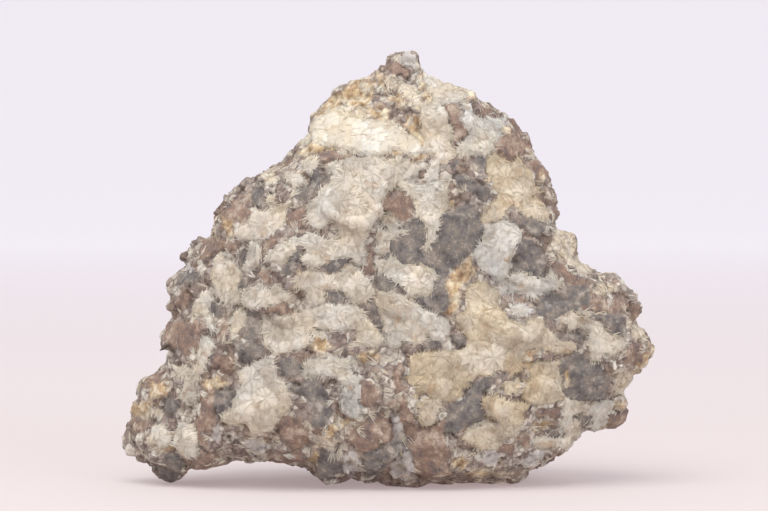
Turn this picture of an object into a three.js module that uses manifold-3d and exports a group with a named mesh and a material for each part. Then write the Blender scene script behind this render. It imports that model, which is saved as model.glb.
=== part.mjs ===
// A hand specimen of wavellite: a broken lump of brown and slate-grey breccia, about 80 mm wide and
// 64 mm tall, with radiating sprays of white wavellite grown over it in intergrown masses.
// Units are millimetres. +Z is up, the best face looks along -Y, and the origin is on the ground
// under the middle.

import * as THREE from "three";
import { mergeVertices } from "three/addons/utils/BufferGeometryUtils.js";
import { ImprovedNoise } from "three/addons/math/ImprovedNoise.js";
import Module from "manifold-3d";

const wasm = await Module();
wasm.setup();

// Driving dimensions of the lump's core
const HEART = new THREE.Vector3(1, 0, 23); // the point that the lump's outline is measured from
const FRONT_DEPTH = 20; // from the heart to the front face
const BACK_DEPTH = 22; // from the heart to the back face
const SQUARENESS = 3.2; // power of the curve from the outline to the faces: 2 is round, more is boxier
const CORE_INSET = 0.985; // the core stands this far inside the outline, which the fragments reach
const CORE_RINGS = [0.18, 0.35, 0.51, 0.66, 0.79, 0.9, 0.97]; // shares of the way out to the outline
const EDGE_WEAR = 1.2; // how far the edges between broken faces are worn round
const LUMP_HEIGHT = 1.4; // of the core's own unevenness, from hollow to hump
const LUMP_LENGTH = 9; // from one hump to the next
const SMALL_LUMP_SHARE = 0.5; // height of the small humps between them
const SMALL_LUMPS = 2.1; // small humps to one hump
const SMALL_LUMP_START = 7; // where the small humps' pattern starts, apart from the large one's
const CORE_WEAR = 0.6; // unevenness of the core that is left out, as the fragments hide it
const BAY_SPREAD = 0.1; // radians between the places of the outline that are averaged for its general run
const BAY_STEPS = [-3, -2, -1, 0, 1, 2, 3];
const SIDE_ON = 0.05; // a broken face turned further from a direction than this does not cut it

// Driving dimensions of the fragments
const BROKEN_SIDES = 5; // broken planes around one fragment
const BROKEN_SWAY = 0.7; // how unevenly they are spaced, in shares of their spacing
const BROKEN_RISE = [0.15, 0.7]; // how far the planes lean out of the upright, from the least to the most
const BROKEN_REACH = [0.62, 0.76]; // share of the uncut block that they leave
const THICKNESS_SHARE = 0.5; // of a fragment's half thickness to its smaller half width
const LEAST_THICKNESS = 1; // added to that
const FRAGMENT_TILT = 0.4; // radians that a placed fragment leans either way, in all
const FRAGMENT_TURN = 0.2; // half turns that it is turned, in all
const FRAGMENT_REACH = 1.5; // how far around it the surface is felt for its lie
const BLOCK_TILT = 0.3;
const BLOCK_TURN = 2;
const BLOCK_SQUASH = [0.6, 1]; // of a packed block's height to its width
const BLOCK_OUTWARD = 0.25; // how far its lie turns from the surface's to straight out from the heart

// Driving dimensions of the wavellite
const GAP = 0.5; // clearance between the rock and the wavellite on it
const THIN_GAP = GAP / 3; // the same again, for the thin edges that the clearance would fold over
const SPRAY_TEETH = 6; // points of crystal around one spray
const SPRAY_HEIGHT = 2.2; // of a spray's middle over the rock
const TIP_HEIGHT = 1; // of its points
const VALLEY_HEIGHT = 0.75; // of the notches between two points
const VALLEY_SHARE = 0.74; // of the radius, where the valleys end
const SPRAY_ROOT = 1.2; // how far a spray reaches into the rock before the rock is cut away
const LAY_LIMIT = 1.6; // how far a spray's points follow the rock up or down from its plane
const LOWEST_SPRAY = 0.6; // no wavellite comes nearer the ground than this
const TIP_REACH = [0.9, 1.1]; // of a point of crystal to the spray's radius
const TIP_SWAY = [0.8, 1.2]; // how evenly a point stands between its two valleys, where 1 is the middle
const VALLEY_ROOM = 1.3; // how much further than its clearance a valley is moved, as its sides slant
const TIP_ROOM = 1.6; // and a tip
const SPRAY_LIE = 0.6; // share of the radius at which the surface is felt for the spray's lie

// Finding places on the surface
const EYE_DISTANCE = 90; // from the middle to the start of a line that looks for a face
const NEAR_DISTANCE = 8; // the same for a line that starts just over a spray
const FEELERS = 6; // lines around a place that feel how the surface lies
const RIM_SLIDE = 0.01; // steps towards the heart, as a share of the way, for a place past the rim
const RIM_LIMIT = 0.8; // where the steps end

// How far pieces are cleaned up where they cut each other
const ROUNDING = 0.1; // the smallest corner that is kept
const CRUMB_SHARE = 0.03; // the largest part of a piece that may break off as crumbs

// The lump's outline seen from the front, as [x, z], clockwise from the peak
const OUTLINE = [
  [2.8, 64.3], [5.2, 62], [8.9, 59.8], [11.9, 58.1], [14.2, 56.4], [16.7, 55.5], [19.1, 55],
  [20.8, 52.4], [21.6, 49.6], [23.6, 47.4], [24.5, 44.6], [25.5, 41], [25.4, 38.6], [27.3, 36.8],
  [28.4, 33.7], [31.7, 31.7], [35.2, 31.2], [36.3, 28], [37.5, 26], [37.4, 24.4], [39.5, 22.7],
  [40.1, 20.2], [38.8, 17.3], [36.8, 14.6], [35.6, 12.4], [35.8, 10.4], [32.6, 7.2], [30.4, 7.3],
  [28.2, 5.6], [27.6, 4.3], [25.6, 3.4], [22.7, 1.7], [19.6, 0.4], [16, -0.6], [9.2, -0.5], [4, -0.6],
  [-0.5, 0.8], [-3.1, -0.5], [-6.5, 0.9], [-8.8, -0.4], [-13.3, 2.3], [-18.5, 3.3], [-23.5, 3.2],
  [-26, 2.2], [-29.9, 1.5], [-30.8, 2], [-32.8, -0.6], [-34.9, 2.2], [-37.7, 2.4], [-39.8, 4.3],
  [-40.1, 6.7], [-38.6, 9.3], [-38.8, 11.6], [-37.4, 13.3], [-35.6, 15.9], [-33.5, 17.5], [-32.6, 20.4],
  [-33.8, 22.9], [-32.6, 24.7], [-33.2, 27.4], [-33.5, 30.1], [-32, 31.1], [-29.8, 32.7], [-28, 36],
  [-25.1, 37.5], [-25.2, 39.6], [-23.9, 42], [-21.3, 44.1], [-19.6, 44.4], [-18.9, 46.3], [-15.8, 48],
  [-13.2, 49.9], [-11.6, 52.4], [-11.2, 55.3], [-9.8, 57], [-6.8, 58.9], [-3.7, 60.7], [-1.7, 62.1],
  [1.3, 63.6],
];

// The broken faces that cut the lump, each as its outward normal and its distance from the heart
const BROKEN_FACES = [
  { normal: [0.04, -0.99, 0.1], distance: 17.4 },
  { normal: [-0.5, -0.85, 0.12], distance: 24 },
  { normal: [-0.25, -0.62, 0.74], distance: 29.5 },
  { normal: [0.5, -0.8, 0.33], distance: 24.5 },
  { normal: [0.45, -0.84, -0.3], distance: 24 },
  { normal: [-0.1, -0.84, -0.54], distance: 22.5 },
  { normal: [-0.12, 0.98, 0.14], distance: 19 },
  { normal: [0.5, 0.8, 0.33], distance: 25.5 },
  { normal: [-0.52, 0.78, 0.34], distance: 26 },
  { normal: [0.45, 0.82, -0.34], distance: 24.5 },
  { normal: [-0.45, 0.82, -0.36], distance: 25 },
  { normal: [0.08, 0.62, 0.78], distance: 32.5 },
];

// Steps in the front, where what lies to the left of the line between the two points stands further back
const STEPS = [
  { from: [36.5, 21], to: [23.5, 35.5], depth: 3.4 },
  { from: [-13, 50.5], to: [-21, 31], depth: -1.6 },
  { from: [14.6, 42], to: [14.2, 29], depth: 1.1 },
  { from: [-24.5, 36], to: [-22, 4], depth: -1.8 },
];
const STEP_WIDTH = 1.6;
const STEP_END = 4; // over this a step dies out past its two ends
const STEP_FADE = [5, 16]; // and between these distances to its left

// Fragments of the breccia that show on the front: [x, z, half width, half height, how far they stand out]
const FRONT_FRAGMENTS = [
  [8, 35.5, 6.4, 5.6, 0.3], [8, 28.4, 3.2, 3, 0.4], [21, 33.6, 3.3, 3.2, 0.9],
  [21.8, 38.2, 2.6, 2.4, 0.8], [12.2, 44.6, 3.2, 2.4, 0.6], [1.6, 41.6, 2.7, 2.5, 0.8],
  [-2.6, 34.4, 1.6, 3, 0.4], [-2, 28, 1.6, 2.2, 0.5], [29.5, 15.4, 4, 3.6, 1],
  [31.4, 26, 4.6, 2.2, 0.9], [25.4, 25.4, 3.2, 2, 0.8], [24.4, 7.2, 3, 1.6, 0.9], [11, 12.2, 4, 3, 0.6],
  [6, 5.4, 4.4, 4, 1], [-22.4, 20.6, 3, 2.6, 1.1], [-25.8, 11.6, 2.6, 3.6, 0.9],
  [-14.4, 15.8, 2.5, 2.3, 0.7], [-10.8, 11, 2.9, 2.7, 0.8], [-22.2, 35, 2.2, 2.2, 0.8],
  [-14.4, 43.8, 3, 2.6, 1], [-28.2, 34, 2.8, 2.8, 1], [-31.2, 28.4, 2.6, 2.8, 1],
  [-8, 4, 2.8, 3.2, 1.1], [-22.4, 40.8, 3, 3, 1], [-13.6, 34, 1.6, 2, 0.7], [2.4, 63, 2.2, 2.2, 0.6],
  [0.4, 60.6, 2.8, 2, 1], [-5.8, 58, 3.6, 2, 1], [3.4, 56.4, 1.8, 2.4, 0.9],
  [10.4, 54.6, 1.8, 3.2, 0.8], [15.4, 55, 2.6, 1.8, 1], [18.2, 50.4, 3.2, 2.4, 1.1],
  [22.4, 46.4, 2.2, 3, 1], [24, 41.6, 1.8, 2.6, 0.9], [-27.6, 22, 3, 2.6, 1],
  [-31.6, 22.2, 2.4, 2.8, 1], [-26.2, 16.4, 2.8, 2.4, 1], [-35.4, 13.6, 2.6, 2.6, 1],
  [-38, 6.4, 2.2, 3, 0.9], [-27.4, 6, 2.2, 3.4, 1], [-14, 7, 3.2, 3.6, 1.1], [-2.8, 6.4, 4.2, 4.6, 1.3],
  [0.6, 15, 2.4, 3.4, 1], [20.4, 4.8, 3, 2.2, 1], [34.2, 10.4, 2.6, 2.6, 1.1], [38, 19.2, 2, 3, 0.8],
  [34.6, 28.8, 3, 2.4, 1], [26.6, 35.6, 2.2, 2.6, 0.9], [-32.8, 1.7, 2.2, 2.2, 0.9],
];

// Broken stone that packs the whole surface, spread evenly by count on an ellipsoid with these half axes
const PACKED_BLOCKS = 46;
const PACKED_SPREAD = new THREE.Vector3(40, 20, 31);
const PACKED_SIZE = [3.8, 7.4];
const PACKED_PROUD = [0.1, 1];
const ARCH_END = -14; // left of this the underside is hollow, and no block fills it
const ARCH_HEIGHT = 6;
const RIM_HALF_DEPTH = 9; // blocks nearer the outline's plane than this are smaller, to keep its shape
const RIM_SIZE_SHARE = 0.5;

// Wavellite: each mass is one solid of sprays that overlap, each spray as [x, z, radius].
// A mass on the back is placed as if seen through the lump from the front.
const MASSES = [
  { name: "wavellite_crown", sprays: [[6.4, 57.4, 3.4], [6.8, 53.6, 3.6], [7.6, 50.4, 3]] },
  { name: "wavellite_brow", sprays: [[13.2, 52.8, 3]] },
  { name: "wavellite_temple", sprays: [[17.8, 45.8, 3.8], [17, 41.6, 3.2]] },
  { name: "wavellite_shoulder", sprays: [[-7, 53, 3.9], [-1.8, 52.4, 4.2], [2.6, 51.9, 2.8]] },
  { name: "wavellite_column", sprays: [[-2.6, 46.4, 3.8], [-7.6, 43.6, 4], [-3.4, 41.2, 3.6],
    [-10.4, 38.4, 3.8], [-5.6, 36.6, 3.2]] },
  { name: "wavellite_shelf", sprays: [[-10.6, 30.2, 3.4], [-6.2, 30.4, 3.3]] },
  { name: "wavellite_apron", sprays: [[-5.6, 25, 3.8], [-11, 24, 4], [-16, 22.8, 3.6]] },
  { name: "wavellite_star", sprays: [[0.2, 31.4, 2.8], [3.9, 30.2, 3.4]] },
  { name: "wavellite_wedge", sprays: [[5.6, 41.6, 3.2]] },
  { name: "wavellite_feather", sprays: [[-0.8, 36.8, 2.4]] },
  { name: "wavellite_pillar", sprays: [[17, 36.4, 3.2], [16, 32.8, 3]] },
  { name: "wavellite_fringe", sprays: [[20.2, 28.8, 2.8], [23.6, 28.8, 2.6]] },
  { name: "wavellite_field", sprays: [[13.8, 27.2, 3.4], [15.8, 22.8, 4.2], [20.8, 20.8, 3.4],
    [14, 17.8, 4], [8.4, 17, 3.8], [5.6, 12.4, 3.4]] },
  { name: "wavellite_heart", sprays: [[1.2, 25, 3.8], [5.8, 23.6, 3.4]] },
  { name: "wavellite_band", sprays: [[28.8, 22.8, 3.1], [32.8, 21.4, 3.2]] },
  { name: "wavellite_slope", sprays: [[-20, 16.2, 3.6], [-18, 11.2, 4]] },
  { name: "wavellite_hollow", sprays: [[-9, 17.4, 3.4], [-5.8, 14.4, 3.2]] },
  { name: "wavellite_fan", sprays: [[-18.4, 38.6, 3.6]] },
  { name: "wavellite_left_star", sprays: [[-16.4, 33.8, 3]] },
  { name: "wavellite_left_band", sprays: [[-23.4, 30.4, 3.4], [-21.6, 26.8, 3.2]] },
  { name: "wavellite_left_knee", sprays: [[-30.4, 15.6, 2.8]] },
  { name: "wavellite_left_foot", sprays: [[-32.6, 7.2, 3.4]] },
  { name: "wavellite_lower_right", sprays: [[17, 11.2, 3.6], [15, 7, 3.4]] },
  { name: "wavellite_pale", sprays: [[23.8, 14.8, 3]] },
  { name: "wavellite_right_foot", sprays: [[27.4, 10.4, 3]] },
  { name: "wavellite_back_top", back: true, sprays: [[3.6, 48.6, 4], [-1.4, 48.2, 3.6]] },
  { name: "wavellite_back_middle", back: true, sprays: [[-5.6, 32.4, 4.2], [-0.8, 30.8, 3.6]] },
  { name: "wavellite_back_right", back: true, sprays: [[20.6, 29, 4]] },
  { name: "wavellite_back_left", back: true, sprays: [[-23, 17.4, 3.8]] },
  { name: "wavellite_back_low", back: true, sprays: [[5, 12.8, 4], [10.2, 12, 3.4]] },
];

// Colours, as a dry specimen shows them in soft light
const ROCK_COLOUR = 0x7d6a60;
const WAVELLITE_COLOUR = 0xddd8c8;

const noise = new ImprovedNoise();

// A repeatable stream of numbers from 0 to 1
function numbersFrom(seed) {
  let state = seed;
  return () => {
    state = (state + 0x6d2b79f5) | 0;
    let t = Math.imul(state ^ (state >>> 15), 1 | state);
    t = (t + Math.imul(t ^ (t >>> 7), 61 | t)) ^ t;
    return ((t ^ (t >>> 14)) >>> 0) / 4294967296;
  };
}

// A three.js geometry as a solid, with its shared corners merged
function solidOf(geometry) {
  const bare = geometry.clone();
  bare.deleteAttribute("normal");
  bare.deleteAttribute("uv");
  const merged = mergeVertices(bare, 1e-4);
  return new wasm.Manifold(new wasm.Mesh({
    numProp: 3,
    vertProperties: merged.attributes.position.array,
    triVerts: new Uint32Array(merged.index.array),
  }));
}

// A solid as a three.js geometry with shared corners
function geometryOf(solid) {
  const mesh = solid.getMesh();
  const geometry = new THREE.BufferGeometry();
  geometry.setAttribute("position", new THREE.BufferAttribute(mesh.vertProperties, mesh.numProp));
  geometry.setIndex(new THREE.BufferAttribute(mesh.triVerts, 1));
  geometry.computeVertexNormals();
  return geometry;
}

// A geometry with shared corners, each moved outwards by the distance given
function grownGeometry(geometry, distance) {
  const grown = geometry.clone();
  const { position, normal } = grown.attributes;
  const corner = new THREE.Vector3();
  const outward = new THREE.Vector3();
  for (let i = 0; i < position.count; i++) {
    outward.fromBufferAttribute(normal, i);
    corner.fromBufferAttribute(position, i).addScaledVector(outward, distance);
    position.setXYZ(i, corner.x, corner.y, corner.z);
  }
  return grown;
}

// The outline as [angle round the heart, distance from it], in order of angle, for outlineRadius to read
const outlinePolar = OUTLINE
  .map(([x, z]) => [Math.atan2(z - HEART.z, x - HEART.x), Math.hypot(x - HEART.x, z - HEART.z)])
  .sort((a, b) => a[0] - b[0]);

function outlineRadius(angle) {
  const after = outlinePolar.findIndex(([a]) => a > angle);
  const next = outlinePolar[after === -1 ? 0 : after];
  const last = outlinePolar[(after === -1 ? outlinePolar.length : after || outlinePolar.length) - 1];
  const turn = 2 * Math.PI;
  const span = (next[0] - last[0] + turn) % turn;
  const share = ((angle - last[0] + turn) % turn) / span;
  return last[1] + (next[1] - last[1]) * share;
}

// The same with the small bays and points of the outline averaged out
function smoothOutlineRadius(angle) {
  const sum = BAY_STEPS.reduce((total, step) => total + outlineRadius(angle + BAY_SPREAD * step), 0);
  return sum / BAY_STEPS.length;
}

// How far back the steps put a place on the front
function stepDepth(x, z) {
  return STEPS.reduce((total, { from, to, depth }) => {
    const length = Math.hypot(to[0] - from[0], to[1] - from[1]);
    const across = ((to[0] - from[0]) * (z - from[1]) - (to[1] - from[1]) * (x - from[0])) / length;
    const along = ((to[0] - from[0]) * (x - from[0]) + (to[1] - from[1]) * (z - from[1])) / length;
    const beside = THREE.MathUtils.smoothstep(across, -STEP_WIDTH / 2, STEP_WIDTH / 2);
    const past = Math.abs(along - length / 2) - length / 2;
    const within = 1 - THREE.MathUtils.smoothstep(past, 0, STEP_END);
    const fading = 1 - THREE.MathUtils.smoothstep(across, ...STEP_FADE);
    return total + depth * beside * within * fading;
  }, 0);
}

// One point of the core: at a share of the way out from the middle of the front or back to the outline
function corePoint(angle, share, front) {
  const nearRim = share ** 4; // the outline's bays and points fade towards the middle
  const radii = [smoothOutlineRadius(angle), outlineRadius(angle)];
  const reach = share * CORE_INSET * THREE.MathUtils.lerp(...radii, nearRim);
  const depth = (front ? -FRONT_DEPTH : BACK_DEPTH) * (1 - share ** SQUARENESS) ** (1 / SQUARENESS);
  const point = new THREE.Vector3(reach * Math.cos(angle), depth, reach * Math.sin(angle));
  if (share === 1) return point.add(HEART);
  let radius = point.length();
  const direction = point.clone().normalize();
  for (const { normal, distance } of BROKEN_FACES) {
    const facing = direction.dot(new THREE.Vector3(...normal).normalize());
    if (facing <= SIDE_ON) continue;
    const cut = distance / facing;
    radius = (radius + cut - Math.hypot(radius - cut, EDGE_WEAR)) / 2;
  }
  const at = direction.clone().multiplyScalar(radius / LUMP_LENGTH);
  const small = at.clone().multiplyScalar(SMALL_LUMPS);
  const smallLump = SMALL_LUMP_SHARE * noise.noise(small.x + SMALL_LUMP_START, small.y, small.z);
  const lump = noise.noise(at.x, at.y, at.z) + smallLump;
  const freedom = 1 - share ** 6; // the rim stays on the outline
  point.copy(direction).multiplyScalar(radius + LUMP_HEIGHT * lump * freedom).add(HEART);
  if (front) point.y += stepDepth(point.x, point.z) * freedom;
  return point;
}

// The core of the lump, as rings from the middle of the front to the middle of the back
function coreGeometry() {
  const angles = OUTLINE.map(([x, z]) => Math.atan2(z - HEART.z, x - HEART.x));
  const rings = [
    ...CORE_RINGS.map((share) => [share, true]),
    [1, true],
    ...CORE_RINGS.map((share) => [share, false]).reverse(),
  ];
  const points = rings.flatMap(([share, front]) => angles.map((angle) => corePoint(angle, share, front)));
  const frontMiddle = points.push(corePoint(0, 0, true)) - 1;
  const backMiddle = points.push(corePoint(0, 0, false)) - 1;
  const count = angles.length;
  const lastRing = (rings.length - 1) * count;
  const corners = [];
  for (let i = 0; i < count; i++) {
    const next = (i + 1) % count;
    corners.push(frontMiddle, next, i, lastRing + i, lastRing + next, backMiddle);
    for (let at = 0; at < lastRing; at += count) {
      const [a, b, c, d] = [at + i, at + next, at + count + i, at + count + next];
      corners.push(a, b, d, a, d, c);
    }
  }
  const geometry = new THREE.BufferGeometry().setFromPoints(points);
  geometry.setIndex(corners);
  return geometryOf(solidOf(geometry).simplify(CORE_WEAR));
}

// The place and outward normal where a line parallel to Y meets a mesh's front or back, or null
const caster = new THREE.Raycaster();
function meet(mesh, x, z, back) {
  const way = new THREE.Vector3(0, back ? -1 : 1, 0);
  caster.set(new THREE.Vector3(x, back ? EYE_DISTANCE : -EYE_DISTANCE, z), way);
  const hit = caster.intersectObject(mesh, false)[0];
  return hit ? { point: hit.point, normal: hit.face.normal.clone() } : null;
}

// The same for a place that may lie past the rim: it is moved towards the heart until it meets the mesh
function meetNearRim(mesh, x, z, back) {
  for (let share = 1; share > RIM_LIMIT; share -= RIM_SLIDE) {
    const hit = meet(mesh, HEART.x + share * (x - HEART.x), HEART.z + share * (z - HEART.z), back);
    if (hit) return hit;
  }
  throw new Error(`a piece at ${x}, ${z} misses the lump`);
}

// The mesh's normal around a place, averaged over a few lines parallel to Y
function smoothNormal(mesh, x, z, back, reach) {
  const sum = new THREE.Vector3();
  for (let i = 0; i < FEELERS; i++) {
    const angle = (i / FEELERS) * 2 * Math.PI;
    const hit = meet(mesh, x + reach * Math.cos(angle), z + reach * Math.sin(angle), back);
    if (hit) sum.add(hit.normal);
  }
  const here = meet(mesh, x, z, back);
  if (here) sum.add(here.normal);
  return sum.lengthSq() > 0 ? sum.normalize() : new THREE.Vector3(0, back ? 1 : -1, 0);
}

// One angular fragment: a block that broken planes have cut, set into the core, and grown by a distance
function fragment(spec, grown) {
  const random = numbersFrom(spec.seed);
  const thickness = THICKNESS_SHARE * Math.min(spec.halfWidth, spec.halfHeight) + LEAST_THICKNESS;
  const half = new THREE.Vector3(spec.halfWidth, spec.halfHeight, thickness);
  const box = new THREE.BoxGeometry(2 * (half.x + grown), 2 * (half.y + grown), 2 * (half.z + grown));
  let solid = solidOf(box);
  for (let i = 0; i < BROKEN_SIDES; i++) {
    const angle = ((i + BROKEN_SWAY * random()) / BROKEN_SIDES) * 2 * Math.PI;
    const rise = THREE.MathUtils.lerp(...BROKEN_RISE, random());
    const normal = new THREE.Vector3(Math.cos(angle), Math.sin(angle), rise).normalize();
    const reach = Math.abs(normal.x) * half.x + Math.abs(normal.y) * half.y + Math.abs(normal.z) * half.z;
    const distance = reach * THREE.MathUtils.lerp(...BROKEN_REACH, random()) + grown;
    solid = solid.trimByPlane([-normal.x, -normal.y, -normal.z], -distance);
  }
  const tilt = new THREE.Euler(
    spec.tilt * (random() - 0.5), spec.tilt * (random() - 0.5), Math.PI * spec.turn * (random() - 0.5));
  const up = Math.abs(spec.normal.z) > 0.9 ? new THREE.Vector3(0, 1, 0) : new THREE.Vector3(0, 0, 1);
  const side = up.clone().cross(spec.normal).normalize();
  const lengthwise = spec.normal.clone().cross(side);
  const matrix = new THREE.Matrix4().makeBasis(side, lengthwise, spec.normal);
  matrix.multiply(new THREE.Matrix4().makeRotationFromEuler(tilt));
  matrix.setPosition(spec.place.clone().addScaledVector(spec.normal, spec.proud - half.z));
  return solid.transform(matrix.toArray());
}

// The fragments that are placed one by one on the front
function frontFragments(core) {
  return FRONT_FRAGMENTS.map(([x, z, halfWidth, halfHeight, proud], i) => {
    const { point } = meetNearRim(core, x, z, false);
    const normal = smoothNormal(core, point.x, point.z, false, FRAGMENT_REACH);
    const lie = { tilt: FRAGMENT_TILT, turn: FRAGMENT_TURN };
    return { place: point, normal, halfWidth, halfHeight, proud, ...lie, seed: 100 + i };
  });
}

// The blocks that pack the whole surface of the core
function packedBlocks(core) {
  const random = numbersFrom(7);
  const goldenAngle = Math.PI * (3 - Math.sqrt(5));
  return Array.from({ length: PACKED_BLOCKS }).flatMap((_, i) => {
    const height = 1 - (2 * (i + 0.5)) / PACKED_BLOCKS;
    const ring = Math.sqrt(1 - height * height);
    const angle = i * goldenAngle;
    const direction = new THREE.Vector3(ring * Math.cos(angle), height, ring * Math.sin(angle));
    direction.multiply(PACKED_SPREAD).normalize();
    caster.set(direction.clone().multiplyScalar(EYE_DISTANCE).add(HEART), direction.clone().negate());
    const { point, face } = caster.intersectObject(core, false)[0];
    const share = Math.abs(point.y) < RIM_HALF_DEPTH ? RIM_SIZE_SHARE : 1;
    const size = share * THREE.MathUtils.lerp(...PACKED_SIZE, random());
    const squash = THREE.MathUtils.lerp(...BLOCK_SQUASH, random());
    const proud = THREE.MathUtils.lerp(...PACKED_PROUD, random());
    if (point.x < ARCH_END && point.z < ARCH_HEIGHT) return [];
    const normal = face.normal.clone().lerp(direction, BLOCK_OUTWARD).normalize();
    const lie = { tilt: BLOCK_TILT, turn: BLOCK_TURN };
    const sizes = { halfWidth: size, halfHeight: size * squash };
    return [{ place: point, normal, ...sizes, proud, ...lie, seed: 500 + i }];
  });
}

// One spray: a flat star of crystal blades with a raised middle, laid over the rock.
// Grown by a distance, it is the room that the neighbouring masses leave it
function spray(rock, [x, z, radius], back, seed, grown) {
  const random = numbersFrom(seed);
  const centre = meetNearRim(rock, x, z, back);
  const normal = smoothNormal(rock, x, z, back, radius * SPRAY_LIE);
  const up = new THREE.Vector3(0, 0, 1);
  const side = up.clone().cross(normal).normalize();
  const lengthwise = normal.clone().cross(side);
  // The place on the rock under a point of the star, given round the centre, and held near the star's plane
  const laid = (angle, distance) => {
    const above = centre.point.clone()
      .addScaledVector(side, distance * Math.cos(angle))
      .addScaledVector(lengthwise, distance * Math.sin(angle));
    const start = above.clone().addScaledVector(normal, NEAR_DISTANCE);
    caster.set(start, normal.clone().negate());
    const hit = caster.intersectObject(rock, false)[0];
    const depth = hit ? hit.distance - NEAR_DISTANCE : LAY_LIMIT;
    return above.addScaledVector(normal, -THREE.MathUtils.clamp(depth, -LAY_LIMIT, LAY_LIMIT));
  };
  const top = [];
  const low = [];
  const add = (place, height) => {
    top.push(place.clone().addScaledVector(normal, height + grown));
    low.push(place.clone().addScaledVector(normal, -SPRAY_ROOT - grown));
    return top.length - 1;
  };
  const middle = add(laid(0, 0), SPRAY_HEIGHT);
  const valleys = [];
  const tips = [];
  const turn = random() * Math.PI;
  for (let i = 0; i < SPRAY_TEETH; i++) {
    const angle = turn + (i / SPRAY_TEETH) * 2 * Math.PI;
    const step = Math.PI / SPRAY_TEETH;
    const tipAngle = angle + step * THREE.MathUtils.lerp(...TIP_SWAY, random());
    const tipDistance = radius * THREE.MathUtils.lerp(...TIP_REACH, random());
    valleys.push(add(laid(angle, radius * VALLEY_SHARE + VALLEY_ROOM * grown), VALLEY_HEIGHT));
    tips.push(add(laid(tipAngle, tipDistance + TIP_ROOM * grown), TIP_HEIGHT));
  }
  const corners = [];
  const lowAt = top.length;
  for (let i = 0; i < SPRAY_TEETH; i++) {
    const [valley, tip, next] = [valleys[i], tips[i], valleys[(i + 1) % SPRAY_TEETH]];
    corners.push(middle, valley, tip, middle, tip, next);
    for (const [a, b] of [[valley, tip], [tip, next]]) {
      corners.push(a, lowAt + a, lowAt + b, a, lowAt + b, b);
      corners.push(lowAt + middle, lowAt + b, lowAt + a);
    }
  }
  const points = [...top, ...low];
  const geometry = new THREE.BufferGeometry().setFromPoints(corners.map((i) => points[i]));
  return solidOf(geometry);
}

// The one body of a solid that has crumbs beside it, which must be small
function mainBody(name, solid) {
  const bodies = solid.decompose().sort((a, b) => b.volume() - a.volume());
  const crumbs = bodies.slice(1).reduce((sum, body) => sum + body.volume(), 0);
  if (crumbs > CRUMB_SHARE * bodies[0].volume()) throw new Error(`${name} falls apart`);
  return bodies[0];
}

function namedMesh(name, solid, material) {
  const mesh = new THREE.Mesh(geometryOf(mainBody(name, solid.simplify(ROUNDING))), material);
  mesh.name = name;
  return mesh;
}

function build() {
  const core = new THREE.Mesh(coreGeometry());
  const fragments = [...packedBlocks(core), ...frontFragments(core)];
  const lump = (grown) => wasm.Manifold.union([
    solidOf(grownGeometry(core.geometry, grown)),
    ...fragments.map((spec) => fragment(spec, grown)),
  ]);
  const rockMaterial = new THREE.MeshStandardMaterial({ color: ROCK_COLOUR, roughness: 0.9 });
  const crystalMaterial = new THREE.MeshStandardMaterial({ color: WAVELLITE_COLOUR, roughness: 0.55 });
  const rock = namedMesh("matrix_rock", lump(0).trimByPlane([0, 0, 1], 0), rockMaterial);
  const specimen = new THREE.Group();
  specimen.add(rock);
  let taken = lump(GAP).add(lump(THIN_GAP));
  MASSES.forEach(({ name, sprays, back = false }, i) => {
    const [mass, room] = [0, GAP].map((grown) => wasm.Manifold.union(
      sprays.map((spec, j) => spray(rock, spec, back, 1000 + 20 * i + j, grown))));
    const cut = mass.subtract(taken).trimByPlane([0, 0, 1], LOWEST_SPRAY);
    specimen.add(namedMesh(name, cut, crystalMaterial));
    taken = taken.add(room);
  });
  const middle = new THREE.Box3().setFromObject(specimen, true).getCenter(new THREE.Vector3());
  specimen.position.set(-middle.x, -middle.y, 0);
  return specimen;
}

export default build();
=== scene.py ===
# %% [markdown]
# A wavellite specimen
#
# The real thing is a broken lump of breccia, angular bits of brown and slate-grey stone in a paler cement.
# Silky white needles of wavellite grew on its faces in fans and stars, so close that they make crusts. The
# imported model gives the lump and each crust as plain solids. Here they get their fine shape and finish.

import math

import bpy
import numpy as np
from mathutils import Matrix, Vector, noise
from mathutils.bvhtree import BVHTree
from mathutils.kdtree import KDTree


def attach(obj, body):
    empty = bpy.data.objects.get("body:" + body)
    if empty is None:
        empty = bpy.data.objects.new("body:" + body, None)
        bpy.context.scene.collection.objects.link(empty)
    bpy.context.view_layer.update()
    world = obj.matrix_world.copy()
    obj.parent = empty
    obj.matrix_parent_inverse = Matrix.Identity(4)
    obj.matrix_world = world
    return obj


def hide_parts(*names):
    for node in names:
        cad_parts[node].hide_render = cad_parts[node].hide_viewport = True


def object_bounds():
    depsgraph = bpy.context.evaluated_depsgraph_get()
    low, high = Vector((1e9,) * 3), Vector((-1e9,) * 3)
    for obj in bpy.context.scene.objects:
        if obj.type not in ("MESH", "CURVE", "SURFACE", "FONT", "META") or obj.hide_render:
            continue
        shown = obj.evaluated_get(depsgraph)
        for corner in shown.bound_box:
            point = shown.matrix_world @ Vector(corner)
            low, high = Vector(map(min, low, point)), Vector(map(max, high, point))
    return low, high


MM = 0.001
noise.seed_set(5)  # without this the noise follows the clock, and each run carves another stone
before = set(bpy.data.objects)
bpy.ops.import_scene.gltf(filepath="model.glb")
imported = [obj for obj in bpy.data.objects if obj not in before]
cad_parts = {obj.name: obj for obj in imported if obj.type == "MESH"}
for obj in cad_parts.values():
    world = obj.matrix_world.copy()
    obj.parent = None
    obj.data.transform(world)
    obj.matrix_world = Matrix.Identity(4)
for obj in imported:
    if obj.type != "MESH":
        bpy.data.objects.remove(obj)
solid_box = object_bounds()
CRUSTS = sorted(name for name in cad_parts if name.startswith("wavellite_"))
box_sides = [round(1000 * side) for side in solid_box[1] - solid_box[0]]
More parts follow.
